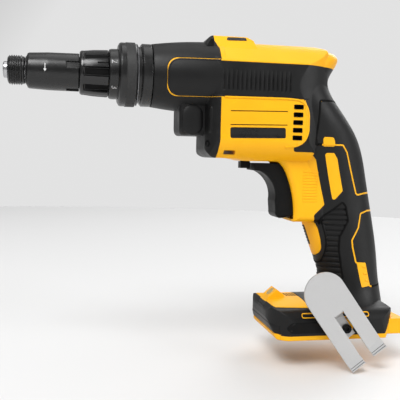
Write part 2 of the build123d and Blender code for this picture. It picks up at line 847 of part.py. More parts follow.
def foot(inset):
    # The battery foot: side, section and plan outlines crossed.
    with BuildPart() as solid:
        with BuildSketch(side_plane):
            with BuildLine():
                Line((89, foot_floor), (83.4, -169))
                ThreePointArc((83.4, -169), (84.4, -162.4), (89, -158))
                Polyline((89, -158), (94, -157.4), (166, -157.4))
                ThreePointArc((166, -157.4), (174, -161.6), (176.6, -170))
                Polyline((176.6, -170), (169, foot_floor), (89, foot_floor))
            make_face()
            if inset:
                offset(amount=-inset)
        extrude(amount=foot_half_width + 1, both=True)
        with BuildSketch(section_plane):
            with BuildLine():
                ThreePointArc((0, -157.4), (15, -158.4), (26, -161.4))
                ThreePointArc((26, -161.4), (31.4, -164.4), (foot_half_width, -170))
                Polyline((foot_half_width, -170), (foot_half_width - 1, foot_floor), (0, foot_floor))
                mirror(about=Plane.YZ)
            make_face()
            if inset:
                offset(amount=-inset)
        extrude(amount=200, mode=Mode.INTERSECT)
        with BuildSketch(plan_plane) as plan:
            with Locations((130.5, 0)):
                Rectangle(94, 2 * foot_half_width + 0.4)
            fillet(plan.vertices().group_by(Axis.X)[0], 19)
            fillet(plan.vertices().group_by(Axis.X)[-1], 15)
            if inset:
                offset(amount=-inset)
        extrude(amount=-200, mode=Mode.INTERSECT)
    return solid.part


def barrel(inset):
    # The body above the grip: side, section and plan outlines crossed.
    with BuildPart() as solid:
        with BuildSketch(side_plane):
            with BuildLine():
                Polyline((column_front, -47), (column_front, 5), (colour_break, 24.2), (107, body_top))
                ThreePointArc((107, body_top), (116.5, 24.7), (124.5, 21.8))
                Polyline((124.5, 21.8), (124.5, -11), (112, body_floor), (66, body_floor), (59, -56.2), (44.4, -56))
                ThreePointArc((44.4, -56), (38, -53.4), (column_front, -47))
            make_face()
            if inset:
                offset(amount=-inset)
        extrude(amount=2 * body_half_width, both=True)
        with BuildSketch(section_plane):
            with BuildLine():
                ThreePointArc((0, body_top), (10, 23.6), (18.5, 17.7))
                Line((18.5, 17.7), (26.2, 10))
                ThreePointArc((26.2, 10), (body_half_width, -2.3), (27.4, -14.5))
                Line((27.4, -14.5), (25.8, -40))
                ThreePointArc((25.8, -40), (22.4, -52), (14, body_floor))
                Line((14, body_floor), (0, body_floor))
                mirror(about=Plane.YZ)
            make_face()
            if inset:
                offset(amount=-inset)
        extrude(amount=2 * body_rear, mode=Mode.INTERSECT)
        with BuildSketch(plan_plane):
            with BuildLine():
                Line((column_front, 0), (column_front, 12))
                ThreePointArc((column_front, 12), (40, 23.5), (52, body_half_width + 0.5))
                Line((52, body_half_width + 0.5), (95, body_half_width + 0.5))
                ThreePointArc((95, body_half_width + 0.5), (113.5, 23.7), (128, 12))
                Line((128, 12), (128, 0))
                mirror(about=Plane.XZ)
            make_face()
            if inset:
                offset(amount=-inset)
        extrude(amount=3 * body_top, both=True, mode=Mode.INTERSECT)
    return solid.part


def nose_cone(inset):
    # The round neck that swells into the barrel.
    with BuildPart() as solid:
        with BuildSketch(section_plane):
            Circle(nose_radius - inset)
        with BuildSketch(section_plane.offset(20)):
            Ellipse(25.2 - inset, 24 - inset)
        with BuildSketch(section_plane.offset(colour_break + 3)):
            Ellipse(27.7 - inset, 24.9 - inset)
        loft()
    return solid.part


def gear_boss(inset):
    # The block under the neck, in front of the motor pinion.
    with BuildPart() as solid:
        with BuildSketch(section_plane.offset(boss_front + inset)):
            with Locations((0, (boss_floor - 12) / 2)):
                RectangleRounded(2 * (boss_half_width - inset), -12 - boss_floor - 2 * inset, 6)
        extrude(amount=column_front + 8 - boss_front)
        fillet(solid.faces().sort_by(Axis.X)[0].edges(), 3)
    return solid.part


def hump(inset):
    # The raised hood on top of the barrel.
    with BuildPart() as solid:
        with BuildSketch(side_plane):
            with BuildLine():
                Line((36, 18), (36.4, 23.5))
                ThreePointArc((36.4, 23.5), (40, 27.8), (46, hump_top - 0.3))
                Line((46, hump_top - 0.3), (64.5, hump_top - 0.3))
                Polyline((64.5, hump_top - 0.3), (70.5, 26), (73, 18), (36, 18))
            make_face()
            if inset:
                offset(amount=-inset)
        extrude(amount=body_half_width, both=True)
        with BuildSketch(section_plane):
            with BuildLine():
                ThreePointArc((0, hump_top), (5, hump_top - 0.3), (10, hump_top - 1.4))
                Polyline((10, hump_top - 1.4), (18.5, 17), (0, 17))
                mirror(about=Plane.YZ)
            make_face()
            if inset:
                offset(amount=-inset)
        extrude(amount=body_rear, mode=Mode.INTERSECT)
    return solid.part


def housing_body(inset):
    with BuildPart() as solid:
        add([barrel(inset), nose_cone(inset), gear_boss(inset), hump(inset)])
        add([grip_column(grip_stations, inset), trigger_block(inset), foot(inset)])
    return solid.part


# Outlines on the side of the housing, measured from its front face
band_top = 9.2
band_bottom = -13.8
band_front = 9.9
pinstripe = 1.2
band_corner = 6.0
far = 220.0

front_cover_edge = [(-1, 40), (41.6, 40), (42.4, 24.4), (44.9, 19), (44.9, -15), (45.2, -44), (43.6, -57)]
side_panel = [(103, -13.8), (107.6, -27), (105.6, -41.5), (98.6, -46.6), (97.2, -50.7), (113, -50.9)]
side_panel += [(117, -56), (125.7, -88.5), (117.8, -96), (122.4, -118.5), (119, -127), (100, -118), (0, -118)]
strip_window = [(122.7, -51), (129.6, -50.9), (132.5, -55), (138.3, -78), (131.2, -86)]
palm_outline = [(126.9, -15), (116.6, -15.2), (116.3, -30), (115.5, -44.6), (128, -44.6), (136.6, -44.6)]
palm_outline += [(140.6, -50), (146.4, -68.4), (150.2, -80.4), (158, -79.2), (far, -79.2), (far, -15)]
palm_tab = [(121, -46.5), (121, -40.3), (128, -40.3), (130, -46.5)]
heel_outline = [(far, -93.4), (160.2, -93.4), (154.4, -95), (152.6, -105), (147.6, -114), (148.2, -119)]
heel_outline += [(151, -130), (158.6, -130.6), (162.4, -147.5), (far, -147.5)]
heel_tab = [(151, -130), (158.6, -130.6), (162.4, -147.5), (155, -148.5)]
finger_outline = [(138.7, -86.1), (141.2, -89), (143.6, -99.7), (137.6, -111.5), (137.6, -121), (141.5, -142)]
finger_outline += [(128, -142), (124.2, -128), (126.6, -122), (126, -113.6), (122.8, -100), (124, -97.6)]
foot_panel = [(79, -140), (79, -156.2), (88.5, -160.6), (113.4, -161.2), (111, -154), (107, -140)]
foot_rim = [(60, -152), (73, -156), (81, -167.6), (90.5, -179.4), (168.5, -179.4), (175, -165), (far, -161)]
foot_rim += [(far, -200), (60, -200)]


def outline(points, corner=0.0, grow=0.0):
    # A flat outline with rounded corners and an optional margin.
    with BuildSketch() as sketch:
        with BuildLine():
            Polyline(*points, close=True)
        make_face()
        if corner:
            fillet(sketch.vertices(), corner)
        if grow:
            offset(amount=grow)
    return sketch.sketch


def band_outline(grow=0.0):
    with BuildSketch() as sketch:
        with BuildLine():
            Polyline((band_front, band_top), (far, band_top), (far, band_bottom), (band_front, band_bottom), close=True)
        make_face()
        fillet(sketch.vertices().group_by(Axis.X)[0], band_corner)
        if grow:
            offset(amount=grow)
    return sketch.sketch


def through(flat):
    # An outline set on the side of the tool and carried across its whole width.
    with BuildPart() as prism:
        with BuildSketch(side_plane):
            add(deepcopy(flat))
        extrude(amount=2 * foot_half_width, both=True)
    return prism.part


outer_body = housing_body(0)
skin_body = housing_body(skin)

with BuildSketch() as front_region:
    with BuildLine():
        Polyline(*front_cover_edge, (43, -64), (-1, -64), close=True)
    make_face()
    add(band_outline(pinstripe), mode=Mode.SUBTRACT)

with BuildSketch() as grip_region:
    add(band_outline())
    with BuildLine():
        Polyline((60, -10), (far, -10), (far, -200), (60, -200), close=True)
    make_face()
    add(outline(side_panel + [(0, -13.8)], 2.0), mode=Mode.SUBTRACT)
    add(outline(strip_window, 1.5), mode=Mode.SUBTRACT)
    add(outline(foot_panel, 1.0), mode=Mode.SUBTRACT)
    add(outline(foot_rim, 1.0), mode=Mode.SUBTRACT)
    add(outline(palm_outline, 1.5, pinstripe), mode=Mode.SUBTRACT)
    add(outline(palm_tab, 1.0), mode=Mode.SUBTRACT)
    add(outline(heel_outline, 1.0, pinstripe), mode=Mode.SUBTRACT)
    add(outline(heel_tab, 1.0), mode=Mode.SUBTRACT)
    add(outline(finger_outline, 1.0, part_gap), mode=Mode.SUBTRACT)


def left_of(body):
    # A fresh copy of the left half of a body.
    with BuildPart() as piece:
        add(deepcopy(body))
        split(bisect_by=Plane.XZ, keep=Keep.TOP)
    return piece.part


with BuildPart() as skin_layer:
    add(left_of(outer_body))
    add(left_of(skin_body), mode=Mode.SUBTRACT)


def skin_piece(region):
    # The soft layer over a region of the left half.
    with BuildPart() as piece:
        add(deepcopy(skin_layer.part))
        add(through(region), mode=Mode.INTERSECT)
    return piece.part


front_skin = skin_piece(front_region.sketch)
grip_skin = skin_piece(grip_region.sketch)

# Slot for a lanyard, right through the bottom of the body
lanyard_x = 52.4
lanyard_z = -52.1
lanyard_length = 8.0
lanyard_height = 2.7

motor_rear = stator_front + stator_length
throat_passage = [
    (housing_x - 1, 0),
    (housing_x - 1, throat_radius + seat_gap),
    (housing_x + 5, throat_radius + seat_gap),
    (housing_x + 12, cup_radius + seat_gap),
    (plate_x + plate_length, cup_radius + seat_gap),
    (plate_x + plate_length, 0),
]
bulkheads = [
    slab((stator_front - rib, stator_front), (-40, 40), (-60, 30)),
    slab((motor_rear, motor_rear + rib), (-40, 40), (-60, 30)),
    slab((plate_front + plate_length, plate_front + plate_length + rib), (-40, 40), (-60, 30)),
    slab((lanyard_x - 6, lanyard_x + 6), (-40, 40), (body_floor, lanyard_z + 3.5)),
    slab((rear_bearing_front - 0.5, rear_bearing_front + bearing_length), (-40, 40), (-46, 30)),
    slab((70, 170), (-40, 40), (switch_top + seat_gap, switch_top + rib)),
    slab((70, 170), (-40, 40), (switch_floor - rib, switch_floor - seat_gap)),
    across(screw_places, (-40, 40), screw_boss_radius),
]
passages = [
    turned(throat_passage),
    disc(motor_plane, gear_front - 1, plate_front + plate_length - gear_front + 1, lobe_radius + seat_gap),
    disc(motor_plane, stator_front - 1, stator_length + 2, stator_radius + seat_gap),
    disc(motor_plane, stator_front - end_turn - 2, stator_length + 2 * end_turn + 4, yoke_bore + 0.2),
    disc(motor_plane, plate_front + plate_length - 1, stator_front + 54 - plate_front - plate_length, 9),
    slab((65, 90), (-8, 8), (body_floor + wall, body_floor + wall + 4)),
    disc(motor_plane, rear_bearing_front - 1, bearing_length + 3, motor_bearing_radius + seat_gap),
    disc(section_plane, plate_front, plate_length + 6, 6),
    slab((76, switch_front), (-trigger_half_width - 0.5, trigger_half_width + 0.5), (-99.3, -58.6)),
    slab(
        (switch_front, switch_front + switch_length + seat_gap),
        (-switch_half_width - seat_gap, switch_half_width + seat_gap),
        (switch_floor - seat_gap, switch_top + seat_gap),
    ),
    slab((120, 150), (-6, 6), (-99, -88)),
    slab((112, 130), (-6, 6), (-62, -50)),
    slab((100, 168), (-24, 24), (board_floor - seat_gap, board_top + seat_gap)),
    slab((132, 160), (-10, 10), (-163, -148)),
]
with BuildPart() as hollow:
    add([barrel(wall), nose_cone(wall), gear_boss(wall), grip_column(grip_stations[2:-1], wall)])
    add(bulkheads, mode=Mode.SUBTRACT)
    add(passages)
    split(bisect_by=Plane.XZ, keep=Keep.TOP)

# Openings in the side panel for the motor's cooling air
vent_count = 5
vent_pitch = 5.3
vent_height = 2.5
vent_length = 6.2
vent_x = 99.8
vent_top = -19.9

# Lug at the back of the foot
lug_rear = 184.0
lug_half_width = 30.0
lug_floor = -180.5
lug_height = 11.0

# Grooves in the soft parts
rib_count = 16
rib_pitch = 3.1
rib_start = 46.4
finger_grooves = 13
finger_pitch = 3.9
finger_top = -91.5
groove_depth = 0.7

with BuildSketch() as bare_region:
    with BuildLine():
        Polyline((-1, 45), (far, 45), (far, -200), (-1, -200), close=True)
    make_face()
    add([deepcopy(front_region.sketch), deepcopy(grip_region.sketch)], mode=Mode.SUBTRACT)
    add([outline(palm_outline, 1.5), outline(heel_outline, 1.0), outline(finger_outline, 1.0)], mode=Mode.SUBTRACT)

# The parts of the hard half that stand as high as the soft layer
with BuildPart() as bare_parts:
    add(left_of(outer_body))
    add(through(bare_region.sketch), mode=Mode.INTERSECT)

# What stands out from the foot: the light's hood, the lug and the seat of the belt hook
with BuildPart() as hood:
    with BuildSketch(side_plane):
        with BuildLine():
            Polyline(*hood_profile, close=True)
        make_face()
    extrude(amount=hood_half_width)

lug = slab((lug_rear - 20, lug_rear), (-lug_half_width, 0), (lug_floor, lug_floor + lug_height))
hook_seat = across([(hook_screw_x, hook_screw_z)], (-hook_seat_y, -20), hook_seat_radius)
foot_extras = [hood.part, lug, hook_seat]

with BuildPart() as lens_hole:
    with BuildSketch(lens_plane.offset(-lens_length - led_board_thickness - part_gap)):
        Circle(lens_radius + seat_gap)
    extrude(amount=lens_length + led_board_thickness + 4)

with BuildPart() as lever_pin_hole:
    with BuildSketch(plan_plane.offset(lever_plate_z - lever_pin_depth - part_gap)):
        with Locations((lever_pivot, 0)):
            Circle(lever_pin_radius + running_fit)
    extrude(amount=lever_pin_depth + 1)

vents = []
for vent in range(vent_count):
    vent_z = vent_top - vent * vent_pitch
    vent_span = (vent_x - vent_length / 2, vent_x + vent_length / 2)
    vents.append(slab(vent_span, (-40, -16), (vent_z - vent_height / 2, vent_z + vent_height / 2)))

lanyard_span = (lanyard_x - lanyard_length / 2, lanyard_x + lanyard_length / 2)
lanyard_rise = (lanyard_z - lanyard_height / 2, lanyard_z + lanyard_height / 2)
half_cuts = [
    hollow.part,
    lens_hole.part,
    lever_pin_hole.part,
    slab(lever_slot, (-lever_slot_half_width, 1), (body_floor - 1, body_floor + wall + 1)),
    slab(lanyard_span, (-40, 1), lanyard_rise),
    across([(hook_screw_x, hook_screw_z)], (-40, hook_screw_depth - hook_seat_y), hook_screw_radius + running_fit),
    slab((channel_front, far), (rail_lip - channel_half_width, 1), (foot_floor - 5, channel_roof)),
    slab((channel_front, far), (-channel_half_width, 1), (foot_floor + rail_lip, channel_roof)),
]

with BuildPart() as half:
    add(left_of(skin_body))
    add(bare_parts.part)
    add(foot_extras)
    add(half_cuts + vents, mode=Mode.SUBTRACT)

with BuildPart() as housing_left:
    add(half.part)
    add(across(screw_places, (-screw_reach - 1, 1), screw_radius + running_fit), mode=Mode.SUBTRACT)

screw_pockets = [
    across(screw_places, (-1, screw_seat + 1), screw_radius + 0.2),
    across(screw_places, (screw_seat, 60), screw_head_radius + 0.2),
]

with BuildPart() as housing_right:
    mirror(half.part, about=Plane.XZ)
    add(screw_pockets, mode=Mode.SUBTRACT)

with BuildPart() as front_cover_left:
    add(front_skin)

with BuildPart() as front_cover_right:
    mirror(front_cover_left.part, about=Plane.XZ)

band_ribs = []
for groove in range(rib_count):
    rib_x = rib_start + groove * rib_pitch
    band_ribs.append(slab((rib_x - 0.6, rib_x + 0.6), (-40, -body_half_width + groove_depth), (-10, 4.9)))

with BuildPart() as grip_left:
    add(grip_skin)
    add(hood.part, mode=Mode.SUBTRACT)
    add(lug, mode=Mode.SUBTRACT)
    add(hook_seat, mode=Mode.SUBTRACT)
    add(band_ribs, mode=Mode.SUBTRACT)

with BuildPart() as grip_right:
    mirror(grip_left.part, about=Plane.XZ)
    add(screw_pockets[1], mode=Mode.SUBTRACT)

with BuildPart() as palm_pad_left:
    add(skin_piece(outline(palm_outline, 1.5)))

with BuildPart() as palm_pad_right:
    mirror(palm_pad_left.part, about=Plane.XZ)
    add(screw_pockets[1], mode=Mode.SUBTRACT)

with BuildPart() as heel_pad_left:
    add(skin_piece(outline(heel_outline, 1.0)))

with BuildPart() as heel_pad_right:
    mirror(heel_pad_left.part, about=Plane.XZ)
    add(screw_pockets[1], mode=Mode.SUBTRACT)

with BuildPart() as finger_cuts:
    for groove in range(finger_grooves):
        groove_z = finger_top - groove * finger_pitch
        add(slab((115, 160), (-40, 1), (groove_z - 0.7, groove_z + 0.7)))
    add(grip_column(grip_stations[4:], groove_depth), mode=Mode.SUBTRACT)

with BuildPart() as finger_pad_left:
    add(skin_piece(outline(finger_outline, 1.0)))
    add(finger_cuts.part, mode=Mode.SUBTRACT)

with BuildPart() as finger_pad_right:
    mirror(finger_pad_left.part, about=Plane.XZ)

spindle.part.label = "spindle"
export_step(spindle.part, "parts/spindle.step")
bit_ball.part.label = "bit_ball"
export_step(bit_ball.part, "parts/bit_ball.step")
release_sleeve.part.label = "release_sleeve"
export_step(release_sleeve.part, "parts/release_sleeve.step")
sleeve_ring.part.label = "sleeve_ring"
export_step(sleeve_ring.part, "parts/sleeve_ring.step")
sleeve_spring.part.label = "sleeve_spring"
export_step(sleeve_spring.part, "parts/sleeve_spring.step")
nose_sleeve.part.label = "nose_sleeve"
export_step(nose_sleeve.part, "parts/nose_sleeve.step")
clutch_housing.part.label = "clutch_housing"
export_step(clutch_housing.part, "parts/clutch_housing.step")
spindle_bush.part.label = "spindle_bush"
export_step(spindle_bush.part, "parts/spindle_bush.step")
torque_collar.part.label = "torque_collar"
export_step(torque_collar.part, "parts/torque_collar.step")
number_ring.part.label = "number_ring"
export_step(number_ring.part, "parts/number_ring.step")
clutch_adjuster.part.label = "clutch_adjuster"
export_step(clutch_adjuster.part, "parts/clutch_adjuster.step")
clutch_spring.part.label = "clutch_spring"
export_step(clutch_spring.part, "parts/clutch_spring.step")
clutch_plate.part.label = "clutch_plate"
export_step(clutch_plate.part, "parts/clutch_plate.step")
spindle_gear.part.label = "spindle_gear"
export_step(spindle_gear.part, "parts/spindle_gear.step")
gear_case.part.label = "gear_case"
export_step(gear_case.part, "parts/gear_case.step")
bearing_plate.part.label = "bearing_plate"
export_step(bearing_plate.part, "parts/bearing_plate.step")
spindle_bearing.part.label = "spindle_bearing"
export_step(spindle_bearing.part, "parts/spindle_bearing.step")
front_motor_bearing.part.label = "front_motor_bearing"
export_step(front_motor_bearing.part, "parts/front_motor_bearing.step")
rear_motor_bearing.part.label = "rear_motor_bearing"
export_step(rear_motor_bearing.part, "parts/rear_motor_bearing.step")
motor_shaft.part.label = "motor_shaft"
export_step(motor_shaft.part, "parts/motor_shaft.step")
motor_pinion.part.label = "motor_pinion"
export_step(motor_pinion.part, "parts/motor_pinion.step")
rotor.part.label = "rotor"
export_step(rotor.part, "parts/rotor.step")
stator.part.label = "stator"
export_step(stator.part, "parts/stator.step")
windings.part.label = "windings"
export_step(windings.part, "parts/windings.step")
fan.part.label = "fan"
export_step(fan.part, "parts/fan.step")
trigger.part.label = "trigger"
export_step(trigger.part, "parts/trigger.step")
switch_plunger.part.label = "switch_plunger"
export_step(switch_plunger.part, "parts/switch_plunger.step")
trigger_spring.part.label = "trigger_spring"
export_step(trigger_spring.part, "parts/trigger_spring.step")
switch_body.part.label = "switch_body"
export_step(switch_body.part, "parts/switch_body.step")
direction_lever.part.label = "direction_lever"
export_step(direction_lever.part, "parts/direction_lever.step")
control_board.part.label = "control_board"
export_step(control_board.part, "parts/control_board.step")
terminal_block.part.label = "terminal_block"
export_step(terminal_block.part, "parts/terminal_block.step")
terminal_blades.part.label = "terminal_blades"
export_step(terminal_blades.part, "parts/terminal_blades.step")
led_lens.part.label = "led_lens"
export_step(led_lens.part, "parts/led_lens.step")
led_board.part.label = "led_board"
export_step(led_board.part, "parts/led_board.step")
belt_hook.part.label = "belt_hook"
export_step(belt_hook.part, "parts/belt_hook.step")
hook_screw.part.label = "hook_screw"
export_step(hook_screw.part, "parts/hook_screw.step")
housing_screws.part.label = "housing_screws"
export_step(housing_screws.part, "parts/housing_screws.step")
housing_left.part.label = "housing_left"
export_step(housing_left.part, "parts/housing_left.step")
housing_right.part.label = "housing_right"
export_step(housing_right.part, "parts/housing_right.step")
front_cover_left.part.label = "front_cover_left"
export_step(front_cover_left.part, "parts/front_cover_left.step")
front_cover_right.part.label = "front_cover_right"
export_step(front_cover_right.part, "parts/front_cover_right.step")
grip_left.part.label = "grip_left"
export_step(grip_left.part, "parts/grip_left.step")
grip_right.part.label = "grip_right"
export_step(grip_right.part, "parts/grip_right.step")
palm_pad_left.part.label = "palm_pad_left"
export_step(palm_pad_left.part, "parts/palm_pad_left.step")
palm_pad_right.part.label = "palm_pad_right"
export_step(palm_pad_right.part, "parts/palm_pad_right.step")
heel_pad_left.part.label = "heel_pad_left"
export_step(heel_pad_left.part, "parts/heel_pad_left.step")
heel_pad_right.part.label = "heel_pad_right"
export_step(heel_pad_right.part, "parts/heel_pad_right.step")
finger_pad_left.part.label = "finger_pad_left"
export_step(finger_pad_left.part, "parts/finger_pad_left.step")
finger_pad_right.part.label = "finger_pad_right"
export_step(finger_pad_right.part, "parts/finger_pad_right.step")
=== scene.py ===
import json
import math
import bmesh
import bpy
from mathutils import Matrix, Vector
from mathutils.bvhtree import BVHTree


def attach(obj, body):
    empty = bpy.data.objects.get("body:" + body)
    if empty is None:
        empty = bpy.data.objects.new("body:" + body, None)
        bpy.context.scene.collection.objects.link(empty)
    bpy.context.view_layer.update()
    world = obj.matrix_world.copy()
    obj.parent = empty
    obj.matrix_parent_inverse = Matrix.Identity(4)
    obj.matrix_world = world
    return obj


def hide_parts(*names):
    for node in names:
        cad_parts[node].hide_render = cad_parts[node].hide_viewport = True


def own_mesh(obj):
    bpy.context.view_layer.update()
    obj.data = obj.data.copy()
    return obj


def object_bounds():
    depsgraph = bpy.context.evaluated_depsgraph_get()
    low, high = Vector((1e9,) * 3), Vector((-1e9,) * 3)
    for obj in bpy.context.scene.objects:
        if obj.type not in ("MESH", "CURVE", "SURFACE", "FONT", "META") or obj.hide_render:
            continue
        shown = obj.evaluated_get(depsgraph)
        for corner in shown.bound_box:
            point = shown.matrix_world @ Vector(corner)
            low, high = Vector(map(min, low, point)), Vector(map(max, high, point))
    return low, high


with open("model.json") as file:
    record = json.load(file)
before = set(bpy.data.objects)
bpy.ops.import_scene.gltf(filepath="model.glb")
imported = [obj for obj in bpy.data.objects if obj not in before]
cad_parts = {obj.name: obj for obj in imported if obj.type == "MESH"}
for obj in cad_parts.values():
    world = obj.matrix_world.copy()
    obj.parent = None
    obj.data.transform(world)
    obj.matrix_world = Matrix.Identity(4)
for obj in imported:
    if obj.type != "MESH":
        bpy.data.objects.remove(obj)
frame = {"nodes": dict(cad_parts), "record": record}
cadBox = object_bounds()
cad = frame["nodes"]
scene = bpy.context.scene
mm = 0.001
fullTurn = 2 * math.pi
print("frame loaded:", len(cad), "nodes")


# camera at the photo's angle

cameraSetup = {
    "place": (0.04575, -0.44998, -0.05446),
    "right": (0.98068, -0.19447, 0.02089),
    "up": (-0.00687, 0.07250, 0.99733),
    "ahead": (0.19547, 0.97822, -0.06976),
    "lens": 57.6,
    "sensor": 36.0,
    "nearest": 0.01,
}


def setCamera(setup):
    data = bpy.data.cameras.new("photoCamera")
    data.lens = setup["lens"]
    data.sensor_width = setup["sensor"]
    data.clip_start = setup["nearest"]
    camera = bpy.data.objects.new("photoCamera", data)
    scene.collection.objects.link(camera)
    turn = Matrix((setup["right"], setup["up"], -Vector(setup["ahead"]))).transposed()
    camera.matrix_world = Matrix.Translation(setup["place"]) @ turn.to_4x4()
    scene.camera = camera


setCamera(cameraSetup)


# sky, pale floor and soft lights

skySetup = {
    "axis": (0.49, 0.84, -0.24),  # towards the bright end of the sky
    "stops": [(0.0, 0.27), (0.6, 0.29), (0.76, 0.62), (1.0, 0.62)],
    "exposure": 0.3,
}
floorSetup = {"drop": 0.0008, "radius": 1.35, "corners": 96, "color": (0.72, 0.72, 0.72, 1.0), "rough": 0.7}
softBoxes = [
    {"name": "keyBox", "place": (-0.9, -1.5, 2.0), "aim": (0.13, 0.0, -0.06), "size": 1.3, "power": 56.0},
    {"name": "topBox", "place": (0.3, 0.3, 2.3), "aim": (0.15, 0.0, 0.0), "size": 1.6, "power": 7.5},
    {"name": "rearBox", "place": (1.7, 1.6, 1.4), "aim": (0.15, 0.0, -0.05), "size": 1.4, "power": 18.0},
    {"name": "sideBox", "place": (1.9, -1.3, 0.6), "aim": (0.2, 0.0, -0.08), "size": 1.0, "power": 14.0},
]


def gray(value):
    return (value, value, value, 1.0)


def setSky(setup):
    world = bpy.data.worlds.new("studioWorld")
    world.use_nodes = True
    tree = world.node_tree
    towards = tree.nodes.new("ShaderNodeVectorMath")
    towards.operation = "DOT_PRODUCT"
    towards.inputs[1].default_value = setup["axis"]
    tree.links.new(tree.nodes.new("ShaderNodeTexCoord").outputs["Generated"], towards.inputs[0])
    shades = tree.nodes.new("ShaderNodeValToRGB")
    stops = shades.color_ramp.elements
    for index, (place, glare) in enumerate(setup["stops"]):
        stop = stops[index] if index < len(stops) else stops.new(place)
        stop.position = place
        stop.color = gray(glare)
    tree.links.new(towards.outputs["Value"], shades.inputs["Fac"])
    tree.links.new(shades.outputs["Color"], tree.nodes["Background"].inputs["Color"])
    scene.world = world
    scene.view_settings.view_transform = "Standard"
    scene.view_settings.exposure = setup["exposure"]


def makeFloor(setup):
    material = bpy.data.materials.new("paleFloor")
    material.use_nodes = True
    shader = material.node_tree.nodes["Principled BSDF"]
    shader.inputs["Base Color"].default_value = setup["color"]
    shader.inputs["Roughness"].default_value = setup["rough"]
    level = cadBox[0][2] - setup["drop"]
    turns = [fullTurn * corner / setup["corners"] for corner in range(setup["corners"])]
    rim = [(setup["radius"] * math.cos(turn), setup["radius"] * math.sin(turn), level) for turn in turns]
    mesh = bpy.data.meshes.new("floor")
    mesh.from_pydata(rim, [], [tuple(range(len(rim)))])
    mesh.materials.append(material)
    floor = bpy.data.objects.new("floor", mesh)
    scene.collection.objects.link(floor)


def setLamps(boxes):
    for box in boxes:
        data = bpy.data.lights.new(box["name"], "AREA")
        data.size = box["size"]
        data.energy = box["power"]
        lamp = bpy.data.objects.new(box["name"], data)
        scene.collection.objects.link(lamp)
        lamp.location = box["place"]
        towards = Vector(box["aim"]) - Vector(box["place"])
        lamp.rotation_euler = towards.to_track_quat("-Z", "Y").to_euler()


setSky(skySetup)
makeFloor(floorSetup)
setLamps(softBoxes)
print("camera, floor and lights set")


# finishes

noiseDetail = {"cloud": 3.0, "gloss": 2.0, "grain": 1.0, "lines": 2.0, "ripple": 1.0}
edgeSamples = 4
lineDepth = 0.00005


def startMaterial(name):
    material = bpy.data.materials.new(name)
    material.use_nodes = True
    tree = material.node_tree
    shader = tree.nodes["Principled BSDF"]
    place = tree.nodes.new("ShaderNodeTexCoord").outputs["Object"]
    return material, tree, shader, place


def noise(tree, place, scale, detail, stretch=None):
    source = place
    if stretch:
        mapping = tree.nodes.new("ShaderNodeMapping")
        mapping.inputs["Scale"].default_value = stretch
        tree.links.new(place, mapping.inputs["Vector"])
        source = mapping.outputs["Vector"]
    cloud = tree.nodes.new("ShaderNodeTexNoise")
    cloud.inputs["Scale"].default_value = scale
    cloud.inputs["Detail"].default_value = detail
    tree.links.new(source, cloud.inputs["Vector"])
    return cloud.outputs["Fac"]


def ramp(tree, fac, low, high, start=0.3, end=0.7):
    node = tree.nodes.new("ShaderNodeValToRGB")
    node.color_ramp.elements[0].position = start
    node.color_ramp.elements[1].position = end
    node.color_ramp.elements[0].color = low
    node.color_ramp.elements[1].color = high
    tree.links.new(fac, node.inputs["Fac"])
    return node.outputs["Color"]


def bump(tree, height, strength, distance, before=None):
    node = tree.nodes.new("ShaderNodeBump")
    node.inputs["Strength"].default_value = strength
    node.inputs["Distance"].default_value = distance
    tree.links.new(height, node.inputs["Height"])
    if before is not None:
        tree.links.new(before, node.inputs["Normal"])
    return node.outputs["Normal"]


def mouldedFinish(name, look):
    # moulded plastic or rubber: cloudy colour, spark-eroded grain and uneven gloss
    material, tree, shader, place = startMaterial(name)
    cloud = noise(tree, place, look["cloudScale"], noiseDetail["cloud"])
    tree.links.new(ramp(tree, cloud, look["colorLow"], look["colorHigh"]), shader.inputs["Base Color"])
    gloss = noise(tree, place, look["glossScale"], noiseDetail["gloss"])
    rough = ramp(tree, gloss, gray(look["roughLow"]), gray(look["roughHigh"]))
    tree.links.new(rough, shader.inputs["Roughness"])
    edge = tree.nodes.new("ShaderNodeBevel")
    edge.samples = edgeSamples
    edge.inputs["Radius"].default_value = look["edgeRadius"]
    grain = noise(tree, place, look["grainScale"], noiseDetail["grain"])
    soft = bump(tree, grain, look["grainStrength"], look["grainDepth"], edge.outputs["Normal"])
    tree.links.new(soft, shader.inputs["Normal"])
    shader.inputs["Specular IOR Level"].default_value = look["specular"]
    return material


def metalFinish(name, look):
    # metal with fine lines along one direction
    material, tree, shader, place = startMaterial(name)
    lines = noise(tree, place, look["lineScale"], noiseDetail["lines"], look["stretch"])
    tree.links.new(ramp(tree, lines, look["colorLow"], look["colorHigh"]), shader.inputs["Base Color"])
    rough = ramp(tree, lines, gray(look["roughLow"]), gray(look["roughHigh"]))
    tree.links.new(rough, shader.inputs["Roughness"])
    tree.links.new(bump(tree, lines, look["lineStrength"], lineDepth), shader.inputs["Normal"])
    shader.inputs["Metallic"].default_value = look["metallic"]
    return material


def lensFinish(name, look):
    # rippled lens, tinted like the hood that it sits on
    material, tree, shader, place = startMaterial(name)
    ripple = noise(tree, place, look["rippleScale"], noiseDetail["ripple"])
    tree.links.new(ramp(tree, ripple, look["colorLow"], look["colorHigh"]), shader.inputs["Base Color"])
    tree.links.new(bump(tree, ripple, look["rippleStrength"], look["rippleDepth"]), shader.inputs["Normal"])
    shader.inputs["Roughness"].default_value = look["rough"]
    shader.inputs["Transmission Weight"].default_value = look["clear"]
    return material


